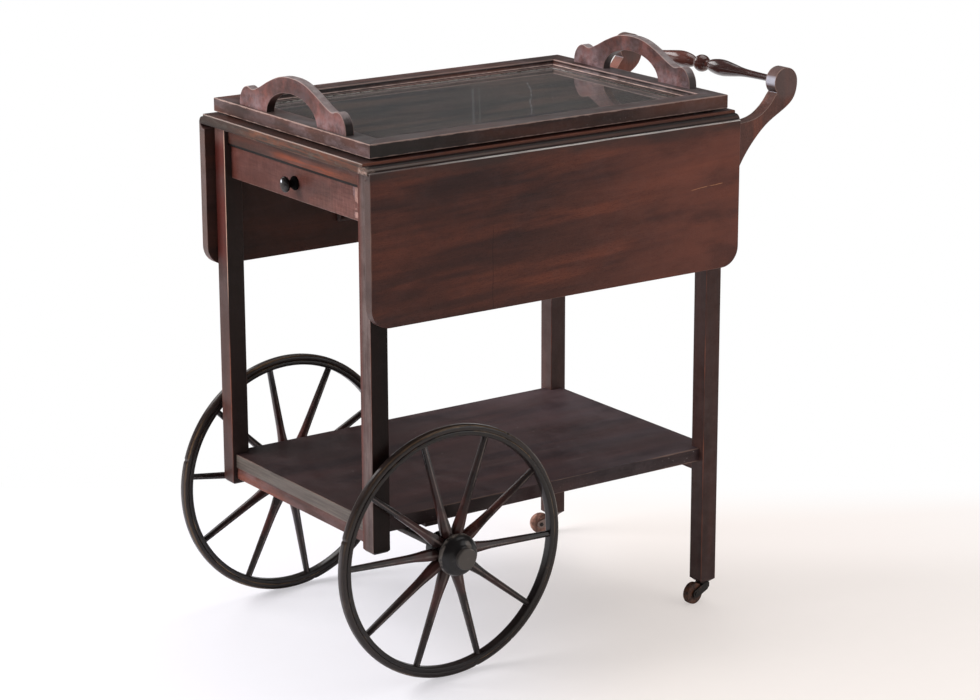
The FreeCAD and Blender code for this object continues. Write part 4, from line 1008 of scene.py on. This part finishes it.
class CART_OT_dress_tray(Operator):
    """Finish the tray's frame and handles, its glass pane, the veneer under it and the felt feet"""
    bl_idname = "cart.dress_tray"
    bl_label = "Dress Tray"

    def execute(self, context):
        for node, grain, seed, haze in (("tray_frame_sides", "x", 6.1, 0.25), ("tray_frame_ends", "y", 7.7, 0.6)):
            dress(node, grain, False, SMALL_EASE, seed=seed, dust=0.4, rough=0.36, haze=haze, pored=0.25,
                  tones=((38, 29, 28), (58, 40, 36), (88, 52, 42)), marks=moulding_marks)
        for node, seed in (("tray_grip_front", 2.6), ("tray_grip_rear", 9.4)):
            dress(node, "y", False, 0.001, seed=seed, dust=0.4, haze=0.35, smoke=0.5,
                  tones=((50, 33, 31), (76, 47, 42), (104, 56, 46)), marks=lambda f: grip_marks(f, node))
        self.lay_glass()
        low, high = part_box("tray_panel")
        veneer = mahogany("tray_veneer", seed=1.9, tones=((97, 93, 99), (145, 126, 122), (170, 137, 127)),
                          marks=veneer_marks, dust=0.25, rough=0.5, gloss=0.1, figured=0.7, haze=0.0, pored=0.5)
        stand_in(box_piece("tray_veneer", low, high, veneer), "tray_panel")
        f = Finish("tray_feet")
        nap = f.noise(900.0, 3.0, 0.7)
        f.shade, f.rough = f.darken((58, 60, 54), 0.6 + 0.7 * nap), 0.95
        paint(f.surface(nap, 0.0004, 0.8), "tray_feet")
        return {"FINISHED"}

    def lay_glass(self):
        """The pane, with dust, a dirty seam round its foot and a film in the near corner."""
        f = Finish("pane")
        x, y, z = f.at
        smear = f.noise((5.0, 9.0, 5.0), 4.0)
        corner = f.fade(span(x + 0.262, (y + 0.125) * 0.7), 0.02, 0.1)
        speck = f.dots(34.0, 0.034, 0.3) * 0.8 + f.dots(110.0, 0.1, 0.22) * (0.06 + corner)
        foot = inset(f) - GLASS_INSET
        seam = f.fade(foot, 0.0004, 0.0016) * f.blots(90.0, 0.34, 0.56) * (0.25 + 0.75 * f.smooth(y, 0.1, 0.15))
        film = f.fade(foot, 0.004, 0.016) * corner * f.blots(50.0, 0.35, 0.6, 4.0)
        clear = f.node("ShaderNodeBsdfPrincipled", None,
                       {"Base Color": tint(240, 246, 246), "Roughness": 0.012 + 0.02 * smear,
                        "Transmission Weight": 1.0, "IOR": 1.52})
        dusty = f.node("ShaderNodeBsdfPrincipled", None, {"Base Color": tint(196, 190, 186), "Roughness": 0.9})
        dirt = (0.003 + 0.016 * smear + 0.7 * speck + 0.9 * seam + 0.28 * film).op("MINIMUM", 1.0)
        low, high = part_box("tray_glass")
        pane = box_piece("tray_pane", low + Vector((0.0002, 0.0002, 0.0003)), high - Vector((0.0002, 0.0002, 0.0)),
                         f.blend(dirt, clear, dusty))
        stand_in(pane, "tray_glass")


class CART_OT_dress_shelf(Operator):
    """Finish the lower shelf, the rails under it and the axle's crosspiece"""
    bl_idname = "cart.dress_shelf"
    bl_label = "Dress Shelf"

    def execute(self, context):
        dress("shelf_board", "x", seed=2.2, dust=0.8, wear_width=0.0026, figured=0.5, haze=0.12, gloss=0.2,
              tones=((44, 34, 37), context.scene.tea_cart.wood.shelf, (76, 50, 50)), marks=shelf_marks)
        for node, seed in (("shelf_rail_front", 4.4), ("shelf_rail_rear", 5.9)):
            dress(node, "y", seed=seed, wear=0.5, haze=0.3)
        for node in ("axle_crosspiece", "axle_brackets"):
            dress(node, "y", False, seed=6.6, tones=((26, 22, 22), (38, 30, 29), (48, 36, 34)), haze=0.05)
        return {"FINISHED"}


class CART_OT_build_wheels(Operator):
    """Build the spokes and tyres of both wheels and finish the hubs, the felloes and the axle"""
    bl_idname = "cart.build_wheels"
    bl_label = "Build Wheels"

    def execute(self, context):
        wheel = context.scene.tea_cart.wheel
        felloe = frame["nodes"]["wheel_felloe_left"].data
        inner = min(math.hypot(v.co.x - WHEEL_X, v.co.z - WHEEL_R) for v in felloe.vertices)

        def ridge(f):
            """A painted highlight, with rubbing, along the ridge of each spoke."""
            t = (f.radius() - wheel.seat) / (inner - wheel.seat)
            deep = wheel.root_depth * (0.94 - 0.3 * t + 0.1 * root_swell(f, t)) / 2
            return f.smooth(abs(abs(f.at[1]) - WHEEL_Y) / deep, 0.86, 0.99) * f.blots(30.0, 0.36, 0.6) * 0.45

        spoke_finish = blackened("spokes", wheel.black, (134, 118, 112), wheel.root_red, 0.34, 0.24, 0.6, ridge)
        felloe_finish = blackened("felloes", wheel.black, wheel.worn, (52, 38, 34), 0.42, 0.3, edge=joint_dirt)
        hub_finish = blackened("hubs", (26, 23, 23), (112, 104, 98), rough=0.44, coat=0.24, scuff=0.9, edge=hub_wear)
        tyre_finish = blackened("tyres", (38, 30, 28), wheel.worn, rough=0.4, coat=0.3, edge=tyre_wear)
        tree = spoke_tree()
        for side, y, turn in (("left", -WHEEL_Y, wheel.left_turn), ("right", WHEEL_Y, wheel.right_turn)):
            spokes = grown("spokes_" + side, tree, {
                "Spokes": wheel.spokes, "Centre": (WHEEL_X, y, WHEEL_R), "First angle": turn,
                "Inner radius": wheel.seat, "Outer radius": inner + 0.0006, "Width": wheel.root_width,
                "Depth": wheel.root_depth}, spoke_finish)
            stand_in(spokes, "wheel_spokes_" + side)
            self.lay_tyre(side, y, tyre_finish)
            self.lay_felloe(side, y, inner, felloe_finish)
            paint(hub_finish, "wheel_hub_" + side, "wheel_hub_cap_" + side)
        paint(metal("axle_iron", (56, 52, 50), (86, 52, 36), 0.45, 0.8), "axle_bar", "axle_nuts")
        return {"FINISHED"}

    def lay_felloe(self, side, mid, inner, finish):
        """The bent wooden rim, its inner corners rounded over."""
        half = (felloe_high.y - felloe_low.y) / 2
        shape = ((0.3, inner), (0.66, inner + 0.0001), (0.86, inner + 0.0005), (0.96, inner + 0.0013),
                 (1.0, inner + 0.0024), (1.0, FELLOE_R - 0.0008), (0.93, FELLOE_R))
        outline = [(-a, r) for a, r in reversed(shape)] + list(shape)
        rim = lathe("felloe_" + side, [(mid + a * half, r) for a, r in outline], WHEEL_X, WHEEL_R, finish, 240,
                    sharp=50.0)
        stand_in(rim, "wheel_felloe_" + side)

    def lay_tyre(self, side, mid, finish):
        """A rounded tyre with nicks and a slightly uneven tread."""
        half = (tyre_high.y - tyre_low.y) / 2
        deep = WHEEL_R - FELLOE_R
        shape = [(0.84, 0.0), (0.96, 0.1), (1.0, 0.2), (1.0, 0.42), (0.97, 0.6), (0.88, 0.77), (0.72, 0.9),
                 (0.5, 0.975), (0.25, 1.0)]
        outline = [(-a, b) for a, b in shape] + [(0.0, 1.0)] + shape[::-1]
        points = [(mid + a * half, FELLOE_R + b * deep) for a, b in outline]
        nicks = ((1.03, 0.01, 0.0022), (2.86, 0.014, 0.0016), (4.93, 0.02, 0.0012), (5.3, 0.009, 0.001))
        shore = math.copysign(1, mid)

        def shift(angle, y, r):
            cut = 0.0
            for at, wide, cut_deep in nicks:
                gap = abs((angle - at + math.pi) % (2 * math.pi) - math.pi)
                cut = max(cut, cut_deep * max(0.0, 1 - gap / wide))
            wave = noise.noise(Vector((math.cos(angle) * 3, math.sin(angle) * 3, y * 90 + shore)))
            return r - (r - FELLOE_R) / deep * (cut + 0.00022 * (1 + wave))

        stand_in(lathe("tyre_" + side, points, WHEEL_X, WHEEL_R, finish, 720, shift, 50.0), "wheel_tyre_" + side)


class CART_OT_dress_casters(Operator):
    """Finish the casters, the leaf props and the hinges"""
    bl_idname = "cart.dress_casters"
    bl_label = "Dress Casters and Ironwork"

    def execute(self, context):
        iron = metal("horn_iron", (42, 39, 38), (92, 56, 40), 0.46, 0.6)
        bright = metal("worn_iron", (128, 112, 106), (112, 70, 50), 0.42, 0.8)
        for side, fork, brown, dirt in (("left", iron, (92, 54, 36), (46, 31, 26)),
                                        ("right", bright, (150, 108, 92), (92, 64, 54))):
            paint(fork, "caster_fork_" + side)
            f = Finish("caster_wheel_" + side)
            grime = f.blots(130.0, 0.38, 0.66, 4.0, 0.65)
            fine = f.noise(600.0)
            f.shade = f.darken(f.mix(brown, dirt, grime), 0.75 + 0.5 * fine)
            f.rough = 0.5 + 0.2 * grime
            paint(f.surface(fine, 0.0002, 0.5), "caster_wheel_" + side)
        paint(iron, "caster_pin_left", "caster_pin_right", "caster_sockets")
        paint(metal("brown_iron", (58, 40, 36), (64, 42, 35), 0.6, 0.2), "leaf_prop_left", "leaf_prop_right",
              "prop_ears")
        paint(metal("hinge_steel", (64, 54, 50), (70, 46, 36), 0.5, 0.6), "hinge_plates", "hinge_pins",
              "hinge_flaps_left", "hinge_flaps_right")
        return {"FINISHED"}


class CART_OT_dress_push_handle(Operator):
    """Finish the scrolled arms and the turned push bar"""
    bl_idname = "cart.dress_push_handle"
    bl_label = "Dress Push Handle"

    def execute(self, context):
        for node, seed in (("push_arm_left", 1.2), ("push_arm_right", 5.5)):
            dress(node, "z", False, 0.0009, seed=seed, tones=((60, 42, 38), (92, 58, 50), (122, 70, 56)), rough=0.38,
                  haze=0.1, smoke=0.5, gloss=0.22, marks=lambda f: arm_marks(f, node))
        f = Finish("push_bar")
        broad = f.blots(14.0, 0.35, 0.7, 2.0, 0.5)
        f.shade = f.mix((54, 33, 31), (98, 56, 48), broad * 0.7)
        f.dim(0.85 + 0.3 * f.noise((160.0, 9.0, 160.0)))
        f.rough = 0.3 + 0.04 * broad
        self.turn_bar(f.surface(Specular_IOR_Level=0.2, Coat_Weight=1.0, Coat_Roughness=0.13))
        return {"FINISHED"}

    def turn_bar(self, material):
        """Turns the bar afresh from the radii of the model's rings, finely enough for a clean light along it."""
        low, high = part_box("push_bar")
        x, z = (low.x + high.x) / 2, (low.z + high.z) / 2
        ring_gap = 0.0004
        rings = {}
        for v in frame["nodes"]["push_bar"].data.vertices:
            ring = (math.hypot(v.co.x - x, v.co.z - z), v.co.y)
            at = round(v.co.y / ring_gap)
            rings[at] = max(rings.get(at, ring), ring)
        outline = [(y, r) for r, y in (rings[at] for at in sorted(rings))]
        outline[0], outline[-1] = (low.y, outline[0][1]), (high.y, outline[-1][1])
        stand_in(lathe("push_bar_turned", outline, x, z, material, 96, sharp=50.0, capped=True), "push_bar")


class CART_OT_fit_screws(Operator):
    """Drive slotted screws into the hinges, the shelf's rails and the axle's crosspiece"""
    bl_idname = "cart.fit_screws"
    bl_label = "Fit Screws"

    def execute(self, context):
        down, end_margin, strap_run, pitch = (0, 0, -1), 0.008, 0.04, (0.012, 0, 0)
        rows = []
        plate_low, plate_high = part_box("hinge_plates")
        for side, sign in (("left", -1), ("right", 1)):
            low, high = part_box("hinge_flaps_" + side)
            inner = low.y if sign > 0 else high.y
            for x in (low.x, high.x - strap_run):
                for z in (low.z + 0.008, low.z + 0.026):
                    rows.append(("flap_screws_" + side, "leaf_" + side, (x + end_margin, inner, z), pitch, 3,
                                 (0, -sign, 0), 0.0028))
            for x in (plate_low.x, plate_high.x - strap_run):
                rows.append(("plate_screws_" + side, "cart", (x + end_margin, sign * 0.1975, top_low.z - 0.0016), pitch,
                             3, down, 0.0025))
        for node in ("shelf_rail_front", "shelf_rail_rear"):
            low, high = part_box(node)
            rows.append(("rail_screws", "cart", ((low.x + high.x) / 2, low.y + 0.03, low.z), (0, 0.0936, 0), 4, down,
                         0.0036))
        low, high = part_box("axle_crosspiece")
        rows.append(("rail_screws", "cart", ((low.x + high.x) / 2, -0.075, low.z), (0, 0.05, 0), 4, down, 0.0036))
        self.drive(rows)
        return {"FINISHED"}

    def drive(self, rows):
        """Grows each row of screws, then joins the rows of one name and body."""
        head, tree = screw_head(), screw_tree()
        finish = metal("screws", (120, 112, 104), (90, 60, 42), 0.38, 0.85, 0.3)
        made = {}
        for n, (name, body, first, step, count, facing, size) in enumerate(rows):
            piece = grown("%s_%d" % (name, n), tree, {
                "Screws": count, "First": first, "Step": step, "Facing": facing, "Head radius": size, "Head": head,
                "Seed": n}, finish)
            made.setdefault((name, body), []).append(piece)
        bpy.data.objects.remove(head)
        for (name, body), pieces in made.items():
            bm = bmesh.new()
            for piece in pieces:
                bm.from_mesh(piece.data)
                bpy.data.objects.remove(piece)
            settle(add_mesh(name, bm, finish), body, "steel")


class CART_OT_set_stage(Operator):
    """Lay the pale floor, hang the lamps and set the camera"""
    bl_idname = "cart.set_stage"
    bl_label = "Set Stage"

    def execute(self, context):
        stage = context.scene.tea_cart.stage
        self.lay_floor(stage)
        self.light_room(context.scene, stage)
        for name, place, size, energy in (
                ("key", (-2.3, 1.2, 1.9), (1.8, 1.8), stage.key_power),
                ("back", (-0.5, 2.7, 2.0), (1.8, 1.0), stage.back_power),
                ("overhead", (0.9, 0.2, 2.7), (2.4, 2.0), stage.top_power),
                ("front", (1.7, -2.2, 1.3), (1.6, 1.6), stage.fill_power)):
            lamp = bpy.data.lights.new(name, "AREA")
            lamp.shape = "RECTANGLE"
            lamp.size, lamp.size_y = size
            lamp.energy = energy
            holder = bpy.data.objects.new(name, lamp)
            holder.location = place
            holder.visible_glossy = name != "key"
            holder.rotation_euler = (Vector((0.0, 0.0, 0.45)) - Vector(place)).to_track_quat("-Z", "Y").to_euler()
            context.scene.collection.objects.link(holder)
        self.set_camera(context.scene)
        context.scene.view_settings.view_transform = "Standard"
        return {"FINISHED"}

    def lay_floor(self, stage):
        """A matt floor that turns into plain white with distance and shows the cart's shadow near it, which it lightens
        with a glow for camera rays: painted light, more to the right and behind.
        """
        bm = bmesh.new()
        bmesh.ops.create_grid(bm, x_segments=8, y_segments=8, size=12.0)
        f = Finish("studio_floor")
        x, y, z = f.at
        camera, glossy, through = f.rays()
        away = f.smooth(span(x + 0.03, y + 0.1), 0.5, 1.5)
        deep = VIEW_SIN * x + VIEW_COS * y
        right = VIEW_COS * x - VIEW_SIN * y
        fade = away.op("MAXIMUM", f.smooth(deep, 0.3, 0.52))
        # painted light: near the cart the floor glows by a share that grows to the right and behind, lightening the
        # shadow there
        base = 0.49 + 0.06 * f.smooth(right, 0.2, 0.5) + 0.26 * f.smooth(deep, 0.04, 0.26) * f.smooth(
            right, 0.09, 0.17)
        mirrored = (1 - camera) * glossy.op("MAXIMUM", through) * away * f.smooth(deep, -0.2, 0.6)
        warm = f.smooth(right, -0.15, 0.25)
        f.shade = f.mix((238, 236, 242), stage.floor, warm)
        f.tinge((222, 216, 212), f.noise(30.0) * 0.15 + f.blots(60.0, 0.76, 0.8, 2.0, 0.5) * 0.6)
        matt = f.node("ShaderNodeBsdfPrincipled", None, {"Base Color": f.shade, "Roughness": 0.75,
                                                         "Specular IOR Level": 0.2})
        glow = f.mix(f.mix((251, 249, 254), (255, 247, 243), warm), (1, 1, 1, 1), fade)
        white = f.node("ShaderNodeEmission", None, {"Color": glow, "Strength": 1.0})
        material = f.blend(camera * (base + (1 - base) * fade) + mirrored, matt, white)
        add_mesh("studio_floor", bm, material)

    def light_room(self, scene, stage):
        """Even light all round, white behind the cart, and a graded room for mirrored rays."""
        world = bpy.data.worlds.new("studio")
        scene.world = world
        world.use_nodes = True
        g = Graph(world.node_tree)
        g.tree.nodes.clear()
        z = g.split(g.node("ShaderNodeTexCoord"))[2]
        camera, glossy, through = g.rays()
        shown = glossy.op("MAXIMUM", through)
        level = 1 - 0.965 * g.smooth(z, 0.0, 0.19)
        strength = camera + (1 - camera) * (shown * level + (1 - shown) * stage.ambient)
        room = g.node("ShaderNodeBackground", None, {"Color": (1, 1, 1, 1), "Strength": strength})
        g.node("ShaderNodeOutputWorld", None, {"Surface": room})

    def set_camera(self, scene):
        data = bpy.data.cameras.new("view")
        data.sensor_width = 36.0
        data.lens = 106.3
        data.clip_start = 0.1
        data.clip_end = 60.0
        view = bpy.data.objects.new("view", data)
        aim, distance = Vector((-0.0711, -0.09432, 0.40742)), 3.9946
        azimuth, height, roll = (math.radians(a) for a in (-34.98, 15.71, -0.15))
        back = Vector((math.sin(azimuth) * math.cos(height), -math.cos(azimuth) * math.cos(height),
                       math.sin(height)))
        right = Vector((0, 0, 1)).cross(back).normalized()
        up = back.cross(right)
        turned = right * math.cos(roll) + up * math.sin(roll)
        risen = up * math.cos(roll) - right * math.sin(roll)
        rotation = Matrix((turned, risen, back)).transposed().to_4x4()
        view.matrix_world = Matrix.Translation(aim + back * distance) @ rotation
        scene.collection.objects.link(view)
        scene.camera = view


OPERATORS = (CART_OT_dress_frame, CART_OT_dress_leaves, CART_OT_dress_drawer, CART_OT_dress_tray,
             CART_OT_dress_shelf, CART_OT_build_wheels, CART_OT_dress_casters, CART_OT_dress_push_handle,
             CART_OT_fit_screws, CART_OT_set_stage)


class CART_PT_panel(Panel):
    """Lists the cart's pieces in the sidebar"""
    bl_label = "Tea Cart"
    bl_idname = "CART_PT_panel"
    bl_space_type = "VIEW_3D"
    bl_region_type = "UI"
    bl_category = "Tea Cart"

    def draw(self, context):
        for operator in OPERATORS:
            self.layout.operator(operator.bl_idname)


CLASSES = (WoodSettings, WheelSettings, StageSettings, CartSettings) + OPERATORS + (CART_PT_panel,)


def register():
    for cls in CLASSES:
        bpy.utils.register_class(cls)
    bpy.types.Scene.tea_cart = PointerProperty(type=CartSettings)


def unregister():
    del bpy.types.Scene.tea_cart
    for cls in reversed(CLASSES):
        bpy.utils.unregister_class(cls)


def main():
    register()
    for operator in OPERATORS:
        group, name = operator.bl_idname.split(".")
        getattr(getattr(bpy.ops, group), name)()


if __name__ == "__main__":
    main()
